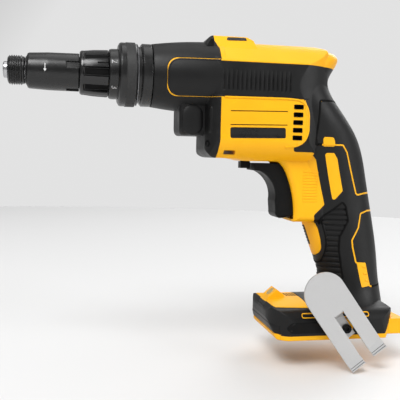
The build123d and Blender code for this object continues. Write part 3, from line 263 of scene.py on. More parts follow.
yellowLook = {
    "colorLow": (0.90, 0.42, 0.004, 1.0), "colorHigh": (0.95, 0.47, 0.006, 1.0), "cloudScale": 22.0,
    "roughLow": 0.36, "roughHigh": 0.46, "glossScale": 60.0, "specular": 0.25, "edgeRadius": 0.0008,
    "grainScale": 1500.0, "grainStrength": 0.16, "grainDepth": 0.00012,
}
overmouldLook = {
    "colorLow": (0.0018, 0.0018, 0.0019, 1.0), "colorHigh": (0.0032, 0.0032, 0.0033, 1.0), "cloudScale": 40.0,
    "roughLow": 0.40, "roughHigh": 0.52, "glossScale": 80.0, "specular": 0.32, "edgeRadius": 0.001,
    "grainScale": 1300.0, "grainStrength": 0.3, "grainDepth": 0.00015,
}
fingerRubberLook = dict(
    overmouldLook, colorLow=(0.0013, 0.0013, 0.0014, 1.0), colorHigh=(0.0024, 0.0024, 0.0025, 1.0),
    roughLow=0.5, roughHigh=0.65, specular=0.3,
)
nosePlasticLook = {
    "colorLow": (0.0015, 0.0015, 0.0016, 1.0), "colorHigh": (0.0028, 0.0028, 0.0029, 1.0), "cloudScale": 50.0,
    "roughLow": 0.24, "roughHigh": 0.34, "glossScale": 120.0, "specular": 0.55, "edgeRadius": 0.0005,
    "grainScale": 1900.0, "grainStrength": 0.18, "grainDepth": 0.0001,
}
collarTextureLook = dict(
    nosePlasticLook, colorLow=gray(0.010), colorHigh=gray(0.018), roughLow=0.5, roughHigh=0.7,
    grainScale=1600.0, grainStrength=0.7, grainDepth=0.0003,
)
triggerLook = dict(
    nosePlasticLook, colorLow=(0.0012, 0.0012, 0.0013, 1.0), colorHigh=(0.0022, 0.0022, 0.0023, 1.0),
    roughLow=0.42, roughHigh=0.55, grainStrength=0.1, specular=0.18,
)
finLook = dict(nosePlasticLook, roughLow=0.18, roughHigh=0.28, specular=0.6)
boardLook = dict(
    nosePlasticLook, colorLow=(0.01, 0.09, 0.035, 1.0), colorHigh=(0.02, 0.15, 0.06, 1.0),
    cloudScale=300.0, roughLow=0.25, roughHigh=0.4,
)
# matte near-black: painted shade in grooves, pockets, slot floors, vents and hook folds, and also the colour
# of print and small marks
shadeAndPrintLook = dict(
    nosePlasticLook, colorLow=gray(0.0008), colorHigh=gray(0.0016),
    roughLow=0.6, roughHigh=0.8, specular=0.15,
)
printLook = dict(nosePlasticLook, colorLow=gray(0.50), colorHigh=gray(0.68), roughLow=0.5, roughHigh=0.65)
brightSteelLook = {
    "colorLow": (0.38, 0.38, 0.39, 1.0), "colorHigh": (0.52, 0.52, 0.53, 1.0), "metallic": 1.0,
    "roughLow": 0.2, "roughHigh": 0.34, "lineScale": 900.0, "stretch": (1.0, 0.04, 0.04), "lineStrength": 0.25,
}
gearSteelLook = dict(
    brightSteelLook, colorLow=(0.22, 0.22, 0.23, 1.0), colorHigh=(0.34, 0.34, 0.35, 1.0),
    roughLow=0.3, roughHigh=0.45,
)
springSteelLook = dict(brightSteelLook, colorLow=(0.3, 0.3, 0.32, 1.0), colorHigh=(0.42, 0.42, 0.44, 1.0))
hookSteelLook = {
    "colorLow": gray(0.535), "colorHigh": gray(0.555), "metallic": 0.55, "roughLow": 0.42, "roughHigh": 0.47,
    "lineScale": 3600.0, "stretch": (0.12, 1.0, 1.0), "lineStrength": 0.015,
}
blackOxideLook = {
    "colorLow": (0.010, 0.010, 0.011, 1.0), "colorHigh": (0.022, 0.022, 0.023, 1.0), "metallic": 1.0,
    "roughLow": 0.35, "roughHigh": 0.5, "lineScale": 700.0, "stretch": (1.0, 1.0, 1.0), "lineStrength": 0.1,
}
zincLook = dict(
    brightSteelLook, colorLow=(0.16, 0.16, 0.17, 1.0), colorHigh=(0.26, 0.26, 0.27, 1.0),
    roughLow=0.3, roughHigh=0.42,
)
castAlloyLook = dict(
    brightSteelLook, colorLow=(0.4, 0.4, 0.41, 1.0), colorHigh=(0.5, 0.5, 0.51, 1.0),
    roughLow=0.45, roughHigh=0.6, stretch=(1.0, 1.0, 1.0),
)
bronzeLook = dict(castAlloyLook, colorLow=(0.42, 0.29, 0.12, 1.0), colorHigh=(0.52, 0.38, 0.18, 1.0))
copperLook = dict(
    brightSteelLook, colorLow=(0.48, 0.19, 0.07, 1.0), colorHigh=(0.66, 0.31, 0.13, 1.0),
    stretch=(0.05, 1.0, 1.0), lineStrength=0.5,
)
lensLook = {
    "colorLow": (0.9, 0.66, 0.24, 1.0), "colorHigh": (0.95, 0.78, 0.42, 1.0), "rough": 0.12, "clear": 0.6,
    "rippleScale": 700.0, "rippleStrength": 0.1, "rippleDepth": 0.0001,
}

finishes = {
    "yellow_plastic": mouldedFinish("yellowShell", yellowLook),
    "black_rubber": mouldedFinish("softOvermould", overmouldLook),
    "black_plastic": mouldedFinish("nosePlastic", nosePlasticLook),
    "trigger_plastic": mouldedFinish("triggerPlastic", triggerLook),
    "board": mouldedFinish("circuitBoard", boardLook),
    "bright_steel": metalFinish("turnedSteel", brightSteelLook),
    "gear_steel": metalFinish("oiledSteel", gearSteelLook),
    "spring_steel": metalFinish("springWire", springSteelLook),
    "hook_steel": metalFinish("platedStrip", hookSteelLook),
    "screw_steel": metalFinish("darkZinc", zincLook),
    "cast_alloy": metalFinish("castAlloy", castAlloyLook),
    "bronze": metalFinish("sinteredBronze", bronzeLook),
    "copper": metalFinish("enamelledCopper", copperLook),
    "clear_lens": lensFinish("clearLens", lensLook),
}
fingerRubber = mouldedFinish("fingerRubber", fingerRubberLook)
collarTexture = mouldedFinish("texturedCollar", collarTextureLook)
finPlastic = mouldedFinish("finPlastic", finLook)
# painted shade for grooves, pockets, slots, vents and folds, and the dark of print and marks
shadeAndPrintBlack = mouldedFinish("shadeAndPrintBlack", shadeAndPrintLook)
palePrint = mouldedFinish("palePrint", printLook)
blackOxide = metalFinish("blackOxide", blackOxideLook)

for part in frame["record"]["subparts"]:
    node = cad[part["node"]]
    node.data.materials.clear()
    node.data.materials.append(finishes[part["material_slot"]])
for name in ("finger_pad_left", "finger_pad_right"):
    cad[name].data.materials[0] = fingerRubber
cad["hook_screw"].data.materials[0] = blackOxide
print("finishes on", len(cad), "nodes")


# where pieces lie on the moulded body; left is side -1 and right is side 1


def joinedTree(names):
    points = []
    faces = []
    for name in names:
        base = len(points)
        mesh = cad[name].data
        points += [corner.co.copy() for corner in mesh.vertices]
        faces += [[base + index for index in face.vertices] for face in mesh.polygons]
    return BVHTree.FromPolygons(points, faces)


sideNodes = ["housing_", "front_cover_", "grip_", "palm_pad_", "heel_pad_", "finger_pad_"]
sideTrees = {
    -1: joinedTree([name + "left" for name in sideNodes]),
    1: joinedTree([name + "right" for name in sideNodes]),
}
shellTree = joinedTree([name + side for name in sideNodes for side in ("left", "right")])
sideCast = {"start": 0.2, "miss": 1e-6, "steps": 8, "facing": 0.35}  # start and miss in metres
gripCast = {"axis": 203.0, "lean": 0.25, "reach": 40.0, "degrees": 4.0, "steps": (0.4, 0.8, 1.2, 1.6)}
endCast = {"middle": 235.0, "reach": 150.0, "seam": 0.3}


def castSide(x, z, side):
    start = Vector((x * mm, side * sideCast["start"], z * mm))
    hit, normal = sideTrees[side].ray_cast(start, Vector((0.0, -side, 0.0)))[:2]
    if hit is None:
        hit, normal = sideTrees[side].find_nearest(Vector((x * mm, side * mm, z * mm)))[:2]
    return hit, normal if normal.y * side > 0 else -normal


def onSide(x, z, side, lift, bridge=0.0):
    # the point of that side at that length and height, lifted off the surface
    hit, normal = castSide(x, z, side)
    level = hit.y * side
    caught = abs(hit.x - x * mm) < sideCast["miss"]
    # the surface round about carries the point over narrow cuts
    for step in range(sideCast["steps"] if bridge and caught else 0):
        across = bridge * math.cos(fullTurn * step / sideCast["steps"]) * mm
        rise = bridge * math.sin(fullTurn * step / sideCast["steps"]) * mm
        near, slope = castSide(x + across / mm, z + rise / mm, side)
        if slope.y * side > sideCast["facing"]:
            reach = near.y * side + (slope.x * across + slope.z * rise) / (slope.y * side)
            if reach > level:
                level = reach
                normal = slope
    return Vector((hit.x, level * side, hit.z)) + normal * lift * mm


def onGrip(along, z, side, lift, bridge=0.0):
    # the point of the grip at that height and way round from its front, 4 degrees to a mm; side isn't used
    spin = math.radians(gripCast["degrees"] * along)
    outward = Vector((-math.cos(spin), math.sin(spin), 0.0))

    def centre(level):
        return Vector((gripCast["axis"] - level * gripCast["lean"], 0.0, level)) * mm

    def reach(level):
        start = centre(level) + outward * gripCast["reach"] * mm
        return gripCast["reach"] * mm - shellTree.ray_cast(start, -outward)[3]

    far = reach(z)
    for step in gripCast["steps"] if bridge else ():  # over the narrow cuts between the ribs
        far = max(far, (reach(z - step) + reach(z + step)) / 2)
    return centre(z) + outward * (far + lift * mm)


def onEnd(y, z, side, lift, bridge=0.0):
    # the point of the front, side -1, or of the back at that height, beside the parting line; no bridging
    y = y if abs(y) > endCast["seam"] else endCast["seam"]
    start = Vector((endCast["middle"] + side * endCast["reach"], y, z)) * mm
    hit = shellTree.ray_cast(start, Vector((-side, 0.0, 0.0)))[0]
    return hit + Vector((side * lift * mm, 0.0, 0.0))


# tools for beads and plates

cornerShare = 0.48  # of the leg beside it, the most that a rounded corner takes
pathSpacing = 1.0
weldDistance = 1e-7
buryDepth = 0.25
# place across and share of the height; None is sunk in the surface
beadProfile = ((-1.0, None), (-0.8, 0.75), (-0.4, 1.0), (0.4, 1.0), (0.8, 0.75), (1.0, None))
plateProfile = ((1.0, None), (0.995, 0.7), (0.97, 1.0), (0.8, 1.0), (0.6, 1.0), (0.4, 1.0), (0.2, 1.0))


def rounded(path, radius, closed, steps=5):
    points = [Vector(point) for point in path]
    made = []
    for index, corner in enumerate(points):
        if not closed and index in (0, len(points) - 1):
            made.append(corner)
            continue
        before = points[index - 1] - corner
        after = points[(index + 1) % len(points)] - corner
        cut = min(radius, before.length * cornerShare, after.length * cornerShare)
        first = corner + before.normalized() * cut
        last = corner + after.normalized() * cut
        for step in range(steps + 1):
            share = step / steps
            made.append(first.lerp(corner, share).lerp(corner.lerp(last, share), share))
    return made


def resampled(path, spacing, closed):
    points = list(path) + ([path[0]] if closed else [])
    made = []
    for first, last in zip(points, points[1:]):
        count = max(1, round((last - first).length / spacing))
        made += [first.lerp(last, step / count) for step in range(count)]
    return made if closed else made + [points[-1]]


def ringFaces(base, rings, width, closed, wrap=True):
    faces = []
    for ring in range(rings if closed else rings - 1):
        for column in range(width if wrap else width - 1):
            here = base + ring * width
            there = base + (ring + 1) % rings * width
            beside = (column + 1) % width
            faces.append((here + column, here + beside, there + beside, there + column))
    return faces


def lastRing(points, width):
    return tuple(range(len(points) - width, len(points)))


def makePiece(name, points, faces, finish, body, angle=35.0):
    mesh = bpy.data.meshes.new(name)
    mesh.from_pydata([tuple(point) for point in points], [], faces)
    work = bmesh.new()
    work.from_mesh(mesh)
    bmesh.ops.remove_doubles(work, verts=work.verts, dist=weldDistance)
    bmesh.ops.recalc_face_normals(work, faces=work.faces)
    work.to_mesh(mesh)
    work.free()
    mesh.shade_smooth()
    mesh.set_sharp_from_angle(angle=math.radians(angle))
    mesh.materials.append(finish)
    piece = bpy.data.objects.new(name, mesh)
    scene.collection.objects.link(piece)
    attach(piece, body)
    return piece


def lifted(profile, lift):
    return [(share, -buryDepth if height is None else lift * height) for share, height in profile]


def placer(shape, side):
    place = shape.get("place", onSide)
    bridge = shape.get("bridge", 0.0)
    return lambda along, z, lift: place(along, z, side, lift, bridge)


def ribbonPart(points, faces, path, side, shape):
    # a bead of the given width that follows a path
    closed = shape.get("closed", False)
    line = rounded(path, shape.get("corner", 0.0), closed)
    line = resampled(line, shape.get("spacing", pathSpacing), closed)
    half = shape["width"] / 2
    profile = lifted(beadProfile, shape["lift"])
    place = placer(shape, side)
    base = len(points)
    for index, point in enumerate(line):
        ahead = line[(index + 1) % len(line)] if closed or index + 1 < len(line) else point
        behind = line[index - 1] if closed or index else point
        along = (ahead - behind).normalized()
        for across, lift in profile:
            points.append(place(point.x - along.y * across * half, point.y + along.x * across * half, lift))
    faces += ringFaces(base, len(line), len(profile), closed)
    if not closed:
        faces += [tuple(range(base, base + len(profile))), lastRing(points, len(profile))]


def patchPart(points, faces, path, side, shape):
    # a thin plate with that outline, made of rings round its middle
    line = resampled(rounded(path, shape["corner"], True), pathSpacing, True)
    middle = sum(line, Vector((0.0, 0.0))) / len(line)
    levels = lifted(plateProfile, shape["lift"])
    place = placer(shape, side)
    base = len(points)
    for scale, lift in levels:
        for point in line:
            spot = middle.lerp(point, scale)
            points.append(place(spot.x, spot.y, lift))
    faces += ringFaces(base, len(levels), len(line), False)
    last = lastRing(points, len(line))
    top = len(points)
    points.append(place(middle.x, middle.y, shape["lift"]))
    faces += [(last[column], last[(column + 1) % len(line)], top) for column in range(len(line))]


def sidePiece(setup, makePart, finish):
    points = []
    faces = []
    for side in setup.get("sides", (-1, 1)):
        for path in setup["paths"]:
            makePart(points, faces, path, side, setup)
    makePiece(setup["name"], points, faces, finish, "housing")


def bothWays(half):
    # a whole path round the front of the grip from half of it
    return [(-along, z) for along, z in half] + half[::-1]


# dark ribbons of painted shade in the grooves round the pads and the grip, and the dark border of the tongue
# below the trigger

padGroove = {
    "name": "padGroove",
    "paths": [
        [
            (240.0, -14.3), (226.5, -14.3), (214.7, -14.5), (214.3, -30.0), (213.8, -40.0), (213.4, -43.0),
            (213.25, -45.5),
        ],
        [(262.5, -148.1), (266.0, -148.1), (274.0, -148.1)],
    ],
    "width": 1.7, "lift": 0.10, "corner": 1.8,
}
padCorner = {
    "name": "padCorner",
    "paths": [[(213.2, -45.0), (218.6, -45.0)], [(213.9, -41.0), (213.9, -45.6)]],
    "width": 1.8, "lift": 0.15, "spacing": 0.4, "bridge": 1.0,
}
fingerGroove = {
    "name": "fingerGroove",
    "paths": [[
        (221.9, -102.8), (221.5, -100.6), (221.9, -98.8), (222.6, -97.4), (237.3, -86.1), (239.8, -89.0),
        (242.2, -99.7), (236.2, -111.5), (236.2, -121.0), (240.1, -142.0), (238.5, -142.0),
    ]],
    "width": 1.5, "lift": 0.42, "corner": 1.0, "bridge": 1.2,
}
gripMargin = {
    "name": "gripMargin",
    "paths": [bothWays([
        (16.8, -102.4), (16.6, -106.0), (16.6, -112.0), (15.9, -116.5), (14.6, -120.8), (12.0, -124.6),
        (9.5, -126.9), (6.0, -128.7), (2.5, -129.7),
    ])],
    "width": 5.4, "lift": 0.15, "corner": 2.0, "bridge": 1.2, "place": onGrip, "sides": (1,),
}
gripGroove = {
    "name": "gripGroove",
    "paths": [
        bothWays([
            (17.7, -97.8), (17.4, -100.5), (17.8, -105.0), (18.2, -112.5), (17.5, -117.0), (16.0, -121.5),
            (13.7, -125.5), (11.5, -128.3), (8.2, -131.0), (3.7, -132.3),
        ]),
        bothWays([(23.6, -142.0), (12.0, -142.0)]),
    ],
    "width": 1.3, "lift": 0.42, "corner": 2.0, "bridge": 1.2, "place": onGrip, "sides": (1,),
}
sidePiece(padGroove, ribbonPart, shadeAndPrintBlack)
sidePiece(padCorner, ribbonPart, shadeAndPrintBlack)
sidePiece(fingerGroove, ribbonPart, shadeAndPrintBlack)
sidePiece(gripMargin, ribbonPart, finishes["black_rubber"])
sidePiece(gripGroove, ribbonPart, shadeAndPrintBlack)

# yellow tab at the palm line, the tongue below the trigger and the raised frame of the side panel

palmTab = {
    "name": "palmTab",
    "paths": [[
        (219.4, -45.6), (219.0, -40.9), (219.9, -39.8), (226.4, -39.8), (227.6, -41.6), (228.6, -45.6),
    ]],
    "lift": 0.45, "corner": 1.2,
}
gripTongue = {
    "name": "gripTongue",
    "paths": [bothWays([
        (12.3, -101.4), (13.7, -106.0), (13.9, -113.5), (13.3, -119.5), (12.3, -121.8), (10.9, -123.4),
        (8.7, -124.8), (5.2, -126.1), (3.0, -126.7),
    ])],
    "lift": 0.4, "corner": 1.2, "place": onGrip, "sides": (1,),
}
panelFrame = {
    "name": "panelFrame",
    "paths": [[
        (146.0, -14.9), (190.0, -14.6), (199.5, -15.2), (204.6, -19.0), (206.3, -25.0), (206.3, -38.0),
        (203.6, -43.8), (198.0, -47.0), (190.0, -47.6),
    ]],
    "width": 1.5, "lift": 0.55, "corner": 4.0,
}
panelFill = {
    "name": "panelFill",
    "paths": [
        [(202.0, -15.6), (203.8, -19.4), (205.2, -25.0)],
        [(205.6, -27.0), (205.3, -38.0), (203.0, -43.0), (199.0, -46.0)],
    ],
    "width": 2.4, "lift": 0.2, "corner": 2.0,
}
sidePiece(palmTab, patchPart, finishes["yellow_plastic"])
sidePiece(gripTongue, patchPart, finishes["yellow_plastic"])
sidePiece(panelFrame, ribbonPart, finishes["yellow_plastic"])
sidePiece(panelFill, ribbonPart, finishes["yellow_plastic"])

# bare label plate, thin printed lines and ridges of the yellow side

labelPlate = {
    "name": "labelPlate",
    "paths": [[(150.3, -35.0), (189.8, -34.4), (190.2, -41.6), (150.6, -42.4)]],
    "lift": 0.14, "corner": 1.4,
}
printedLines = {
    "name": "printedLines",
    "paths": [
        [(150.3, -24.0), (170.0, -23.6), (190.6, -23.2)],
        [(150.5, -33.3), (170.0, -32.9), (190.8, -32.5)],
    ],
    "width": 0.75, "lift": 0.06, "corner": 0.2,
}
ridgeRows = {"front": 207.4, "back": 218.2, "top": -65.0, "pitch": 2.1, "count": 11}
ridgeLevels = [ridgeRows["top"] - ridgeRows["pitch"] * row for row in range(ridgeRows["count"])]
handleRidges = {
    "name": "handleRidges",
    "paths": [[(ridgeRows["front"], z), (ridgeRows["back"], z)] for z in ridgeLevels],
    "width": 1.0, "lift": 0.22,
}
sidePiece(labelPlate, patchPart, finishes["black_plastic"])
sidePiece(printedLines, ribbonPart, shadeAndPrintBlack)
sidePiece(handleRidges, ribbonPart, finishes["yellow_plastic"])

# line round the slot on the foot

footSlot = {
    "name": "footSlot",
    "paths": [[(203.8, -163.8), (253.8, -163.8), (253.8, -166.4), (203.8, -166.4)]],
    "width": 0.7, "lift": 0.2, "corner": 1.2, "closed": True,
}
sidePiece(footSlot, ribbonPart, finishes["yellow_plastic"])
print("trim laid on the sides")

# painted shade: dark liners in the vents of the left side, each with a dark floor and a dark flange round its
# edge

ventShadeLiner = {
    "count": 5, "pitch": 5.3, "top": -19.9, "middle": 198.4, "halfLength": 3.1, "halfHeight": 1.25,
    "flange": 0.35, "play": 0.06, "sink": 0.1, "stand": 0.25, "depth": 4.0, "corner": 0.6, "cornerSteps": 3,
    "aside": 1.2,  # how far off the vent the level of the side is taken
}


def makeVentShade(setup):
    points = []
    faces = []
    edges = (
        (setup["flange"], -setup["sink"]), (setup["flange"], setup["stand"]),
        (-setup["play"], setup["stand"]), (-setup["play"], -setup["depth"]),
    )
    for row in range(setup["count"]):
        z = setup["top"] - row * setup["pitch"]
        base = len(points)
        for grow, lift in edges:
            across = setup["halfLength"] + grow
            rise = setup["halfHeight"] + grow
            corners = [(-across, -rise), (across, -rise), (across, rise), (-across, rise)]
            line = rounded(corners, setup["corner"], True, setup["cornerSteps"])
            level = onSide(setup["middle"] - across - setup["aside"], z, -1, 0.0).y / mm
            for spot in line:
                points.append(Vector((setup["middle"] + spot.x, level - lift, z + spot.y)) * mm)
        faces += ringFaces(base, len(edges), len(line), False)
        faces.append(lastRing(points, len(line)))
    makePiece("ventShadeLiner", points, faces, shadeAndPrintBlack, "housing")


makeVentShade(ventShadeLiner)

# plate on the hump, a dark patch of painted shade in the pocket on the hump, and a cover that thins the
# pinstripe round the band

humpPlate = {
    "name": "humpPlate",
    "paths": [[(149.8, 25.2), (164.4, 25.6), (163.8, 27.9), (150.4, 27.7)]],
    "lift": 0.2, "corner": 0.8,
}
humpPocket = {
    "name": "humpPocket",
    "paths": [[(134.6, 19.8), (140.0, 20.2), (140.6, 25.6), (138.8, 25.8)]],
    "lift": 0.12, "corner": 1.4,
}
stripeCover = {
    "name": "stripeCover",
    "paths": [[
        (206.0, -14.15), (114.5, -14.15), (110.4, -12.4), (108.0, -8.0), (108.0, 3.4), (110.4, 7.8),
        (114.5, 9.55), (143.0, 9.55),
    ]],
    "width": 1.3, "lift": 0.12, "corner": 3.0,
}
sidePiece(humpPlate, patchPart, finishes["black_plastic"])
sidePiece(humpPocket, patchPart, shadeAndPrintBlack)
sidePiece(stripeCover, ribbonPart, finishes["black_rubber"])


# tools for turned pieces on the nose


def onNose(x, turn, radius):
    # turn is in degrees above the level line of the left side
    spin = math.radians(turn)
    return Vector((x * mm, -radius * math.cos(spin) * mm, radius * math.sin(spin) * mm))


def lathePart(points, faces, profile, columns, radiusAt=None):
    base = len(points)
    for x, radius in profile:
        for column in range(columns):
            turn = 360.0 * column / columns
            points.append(onNose(x, turn, radiusAt(x, turn, radius) if radiusAt else radius))
    faces += ringFaces(base, len(profile), columns, True)


def lathePiece(setup, finish, body):
    points = []
    faces = []
    lathePart(points, faces, setup["profile"], setup["columns"])
    makePiece(setup["name"], points, faces, finish, body)


def clamped(share):
    return min(1.0, max(0.0, share))


# torque collar with deep slots between eight fins

collarShape = {
    "bore": 12.65, "floor": 13.85, "fins": 8, "firstFin": 21.0, "finHalf": 11.4, "wall": 1.2,
    "front": 49.9, "end": 69.3, "slotStart": 52.3, "slotFull": 53.0,
    "radii": [
        (49.9, 13.7), (50.3, 14.35), (51.1, 14.9), (52.2, 14.98), (52.5, 15.0), (53.0, 15.04), (55.0, 15.25),
        (58.9, 15.72), (63.0, 15.93), (68.0, 16.13), (68.6, 16.1), (69.0, 15.8), (69.3, 15.35),
    ],
    "spread": [-0.5, -0.4, -0.32, -0.275, -0.255, -0.23, -0.12, 0.0, 0.12, 0.23, 0.255, 0.275, 0.32, 0.4],
}


def makeCollar(shape):
    step = 360.0 / shape["fins"]
    places = [fin + share for fin in range(shape["fins"]) for share in shape["spread"]]
    turns = [shape["firstFin"] + step * place for place in places]
    rows = [(shape["front"], shape["bore"], False)]
    rows += [(x, radius, True) for x, radius in shape["radii"]]
    rows += [(shape["end"], shape["bore"], False)]
    points = []
    for x, radius, outer in rows:
        depth = clamped((x - shape["slotStart"]) / (shape["slotFull"] - shape["slotStart"]))
        for turn in turns:
            away = abs((turn - shape["firstFin"] + step / 2) % step - step / 2)
            rise = clamped((shape["finHalf"] + shape["wall"] - away) / (2 * shape["wall"]))
            rise = rise * rise * (3 - 2 * rise)
            slotted = outer and radius > shape["floor"]
            cut = (radius - shape["floor"]) * (1 - rise) * depth if slotted else 0.0
            points.append(onNose(x, turn, radius - cut))
    faces = ringFaces(0, len(rows), len(turns), True)
    piece = makePiece("collarFins", points, faces, finPlastic, "torque_collar", angle=40.0)
    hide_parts("torque_collar")


makeCollar(collarShape)

# pointer in the fin, arrow on the nose sleeve and painted shade: dark strips on the floors of the slots

pointerMark = {
    "name": "pointerMark", "middle": 65.2, "turn": 21.0, "radius": 16.16,
    "outline": [(-0.4, -3.6), (0.4, -3.6), (0.4, 3.6), (-0.4, 3.6)],
}
arrowMark = {
    "name": "sleeveArrow", "middle": 27.4, "turn": 6.0, "radius": 12.56,
    "outline": [(-2.9, -0.28), (1.0, -0.28), (1.0, -1.1), (2.9, 0.0), (1.0, 1.1), (1.0, 0.28), (-2.9, 0.28)],
}
markMesh = {"spacing": 0.5, "sink": 0.2, "rise": 0.07}
slotFloorShade = {
    "middle": 61.3, "radius": 13.93, "half": 1.95, "reach": 7.9, "columns": 8, "sink": 0.2, "rise": 0.04,
}


def makeMark(setup, finish, body):
    # an outline bent round the nose: its first value runs round it, downwards, and the second along it
    line = resampled([Vector(spot) for spot in setup["outline"]], markMesh["spacing"], True)
    points = []
    for radius in (setup["radius"] - markMesh["sink"], setup["radius"] + markMesh["rise"]):
        for around, along in line:
            turn = setup["turn"] - math.degrees(around / radius)
            points.append(onNose(setup["middle"] + along, turn, radius))
    faces = ringFaces(0, 2, len(line), False) + [lastRing(points, len(line))]
    makePiece(setup["name"], points, faces, finish, body)


def makeSlotFloorShade(setup, collar):
    # a strip of painted shade bent round the bottom of each slot, with its rim sunk
    points = []
    faces = []
    columns = setup["columns"]
    shares = [-1.0] + [2 * column / columns - 1 for column in range(columns + 1)] + [1.0]
    ends = (-1, -1, 1, 1)
    for fin in range(collar["fins"]):
        turn = collar["firstFin"] + 360.0 / collar["fins"] * (fin + 0.5)
        base = len(points)
        for row, along in enumerate(ends):
            for column, share in enumerate(shares):
                sunk = row in (0, len(ends) - 1) or column in (0, len(shares) - 1)
                around = math.degrees(share * setup["half"] / setup["radius"])
                radius = setup["radius"] + (-setup["sink"] if sunk else setup["rise"])
                points.append(onNose(setup["middle"] + along * setup["reach"], turn - around, radius))
        faces += ringFaces(base, len(ends), len(shares), False, False)
    makePiece("slotFloorShade", points, faces, shadeAndPrintBlack, "torque_collar")


makeMark(pointerMark, shadeAndPrintBlack, "torque_collar")
makeMark(arrowMark, palePrint, "nose_sleeve")
makeSlotFloorShade(slotFloorShade, collarShape)

# dark ring that closes the gap in front of the nose sleeve

noseRing = {
    "name": "noseRing", "columns": 72,
    "profile": [(14.5, 5.7), (14.5, 9.2), (14.7, 9.5), (15.5, 9.5), (15.5, 5.7)],
}
lathePiece(noseRing, finishes["black_plastic"], "nose_sleeve")

# plain numbers round the dial ring

dialNumbers = {
    "digits": "123456", "firstTurn": 83.0, "step": -60.0, "middle": 72.7, "radius": 17.06,
    "size": 6.0, "thick": 0.06, "resolution": 4,
}


def makeNumbers(setup):
    points = []
    faces = []
    for index, digit in enumerate(setup["digits"]):
        curve = bpy.data.curves.new("digit", "FONT")
        curve.body = digit
        curve.size = setup["size"]
        curve.align_x = "CENTER"
        curve.align_y = "CENTER"
        curve.extrude = setup["thick"]
        curve.resolution_u = setup["resolution"]
        holder = bpy.data.objects.new("digit", curve)
        scene.collection.objects.link(holder)
        mesh = bpy.data.meshes.new_from_object(holder.evaluated_get(bpy.context.evaluated_depsgraph_get()))
        base = len(points)
        middleTurn = setup["firstTurn"] + setup["step"] * index
        for corner in mesh.vertices:
            around, along, out = corner.co
            turn = middleTurn - math.degrees(around / setup["radius"])
            points.append(onNose(setup["middle"] + along, turn, setup["radius"] + out))
        faces += [tuple(base + place for place in face.vertices) for face in mesh.polygons]
        bpy.data.objects.remove(holder)
        bpy.data.curves.remove(curve)
        bpy.data.meshes.remove(mesh)
    makePiece("dialNumbers", points, faces, palePrint, "housing")


makeNumbers(dialNumbers)

# knurled band and steel washer of the large collar

knurlBand = {
    "start": 80.8, "end": 87.0, "radius": 21.72, "rise": 0.28, "columns": 150, "rows": 11,
    "lip": 0.15, "sink": 0.3,
}
steelWasher = {
    "name": "steelWasher", "columns": 96,
    "profile": [(88.15, 19.2), (88.15, 20.9), (88.3, 21.1), (88.7, 21.1), (88.85, 20.9), (88.85, 19.2)],
}


def makeKnurl(setup):
    points = []
    faces = []
    span = setup["end"] - setup["start"]
    profile = [(setup["start"] - setup["lip"], setup["radius"] - setup["sink"])]
    for row in range(setup["rows"] + 1):
        profile.append((setup["start"] + span * row / setup["rows"], setup["radius"]))
    profile.append((setup["end"] + setup["lip"], setup["radius"] - setup["sink"]))

    def knurled(x, turn, radius):
        if radius < setup["radius"]:
            return radius
        column = round(turn * setup["columns"] / 360.0)
        row = round((x - setup["start"]) / span * setup["rows"])
        return radius + setup["rise"] * ((column + row) % 2)

    lathePart(points, faces, profile, setup["columns"], knurled)
    makePiece("knurlBand", points, faces, collarTexture, "housing", angle=60.0)


makeKnurl(knurlBand)
lathePiece(steelWasher, finishes["screw_steel"], "housing")
print("nose pieces made")

# coil springs, each on one body; the clutch spring is two, as each follows one joint

springs = [
    {
        "name": "sleeveCoil", "node": "sleeve_spring", "body": "release_sleeve",
        "start": 5.1, "end": 10.9, "radius": 6.6, "wire": 0.6, "turns": 3,
        "joint": "release_slide", "anchor": 10.9, "keep": 0.39,
    },
    {
        "name": "clutchCoilFront", "node": "clutch_spring", "body": "clutch_adjuster",
        "start": 77.7, "end": 93.1, "radius": 9.2, "wire": 1.6, "turns": 3,
        "joint": "collar_turn", "anchor": 77.7, "keep": 0.80,
    },
    {
        "name": "clutchCoilRear", "body": "clutch_plate",
        "start": 93.15, "end": 108.5, "radius": 9.2, "wire": 1.6, "turns": 3,
        "joint": "clutch_slip", "anchor": 108.5, "keep": 0.80,
    },
    {
        "name": "triggerCoil", "node": "trigger_spring", "body": "trigger",
        "start": 205.7, "end": 216.0, "radius": 5.3, "wire": 0.8, "turns": 4, "level": -75.0,
        "joint": "trigger_pull", "anchor": 205.7, "keep": 0.41,
    },
]
coilMesh = {"columns": 10, "perTurn": 28, "flat": 0.07}  # flat is the share at each end that doesn't climb


def makeCoil(setup):
    points = []
    columns = coilMesh["columns"]
    rings = setup["turns"] * coilMesh["perTurn"] + 1
    level = Vector((0.0, 0.0, setup.get("level", 0.0) * mm))
    first = setup["start"] + setup["wire"] / 2
    last = setup["end"] - setup["wire"] / 2
    for ring in range(rings):
        share = ring / (rings - 1)
        climb = clamped((share - coilMesh["flat"]) / (1 - 2 * coilMesh["flat"]))
        for column in range(columns):
            swing = fullTurn * column / columns
            x = first + (last - first) * climb + math.sin(swing) * setup["wire"] / 2
            radius = setup["radius"] + math.cos(swing) * setup["wire"] / 2
            points.append(onNose(x, 360.0 * setup["turns"] * share, radius) + level)
    faces = ringFaces(0, rings, columns, False) + [tuple(range(columns)), lastRing(points, columns)]
    finish = finishes["spring_steel"]
    piece = makePiece(setup["name"], points, faces, finish, setup["body"], angle=60.0)
    if "node" in setup:
        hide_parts(setup["node"])
    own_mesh(piece)


for spring in springs:
    makeCoil(spring)
print("springs wound")

# soft bosses and a screw on the front cover

columnBoss = {
    "name": "columnBoss", "start": (137.7, -21.6, -23.0), "end": (138.0, -21.8, -37.5),
    "outward": (-0.8, -0.6, 0.0), "radius": 2.3, "rise": 0.9, "rings": 14, "columns": 14,
}
bossPad = {
    "name": "bossPad", "start": (126.4, -14.7, -27.0), "end": (126.4, -14.7, -33.2),
    "outward": (0.0, -1.0, 0.0), "radius": 7.4, "rise": 1.5, "rings": 20, "columns": 28,
}


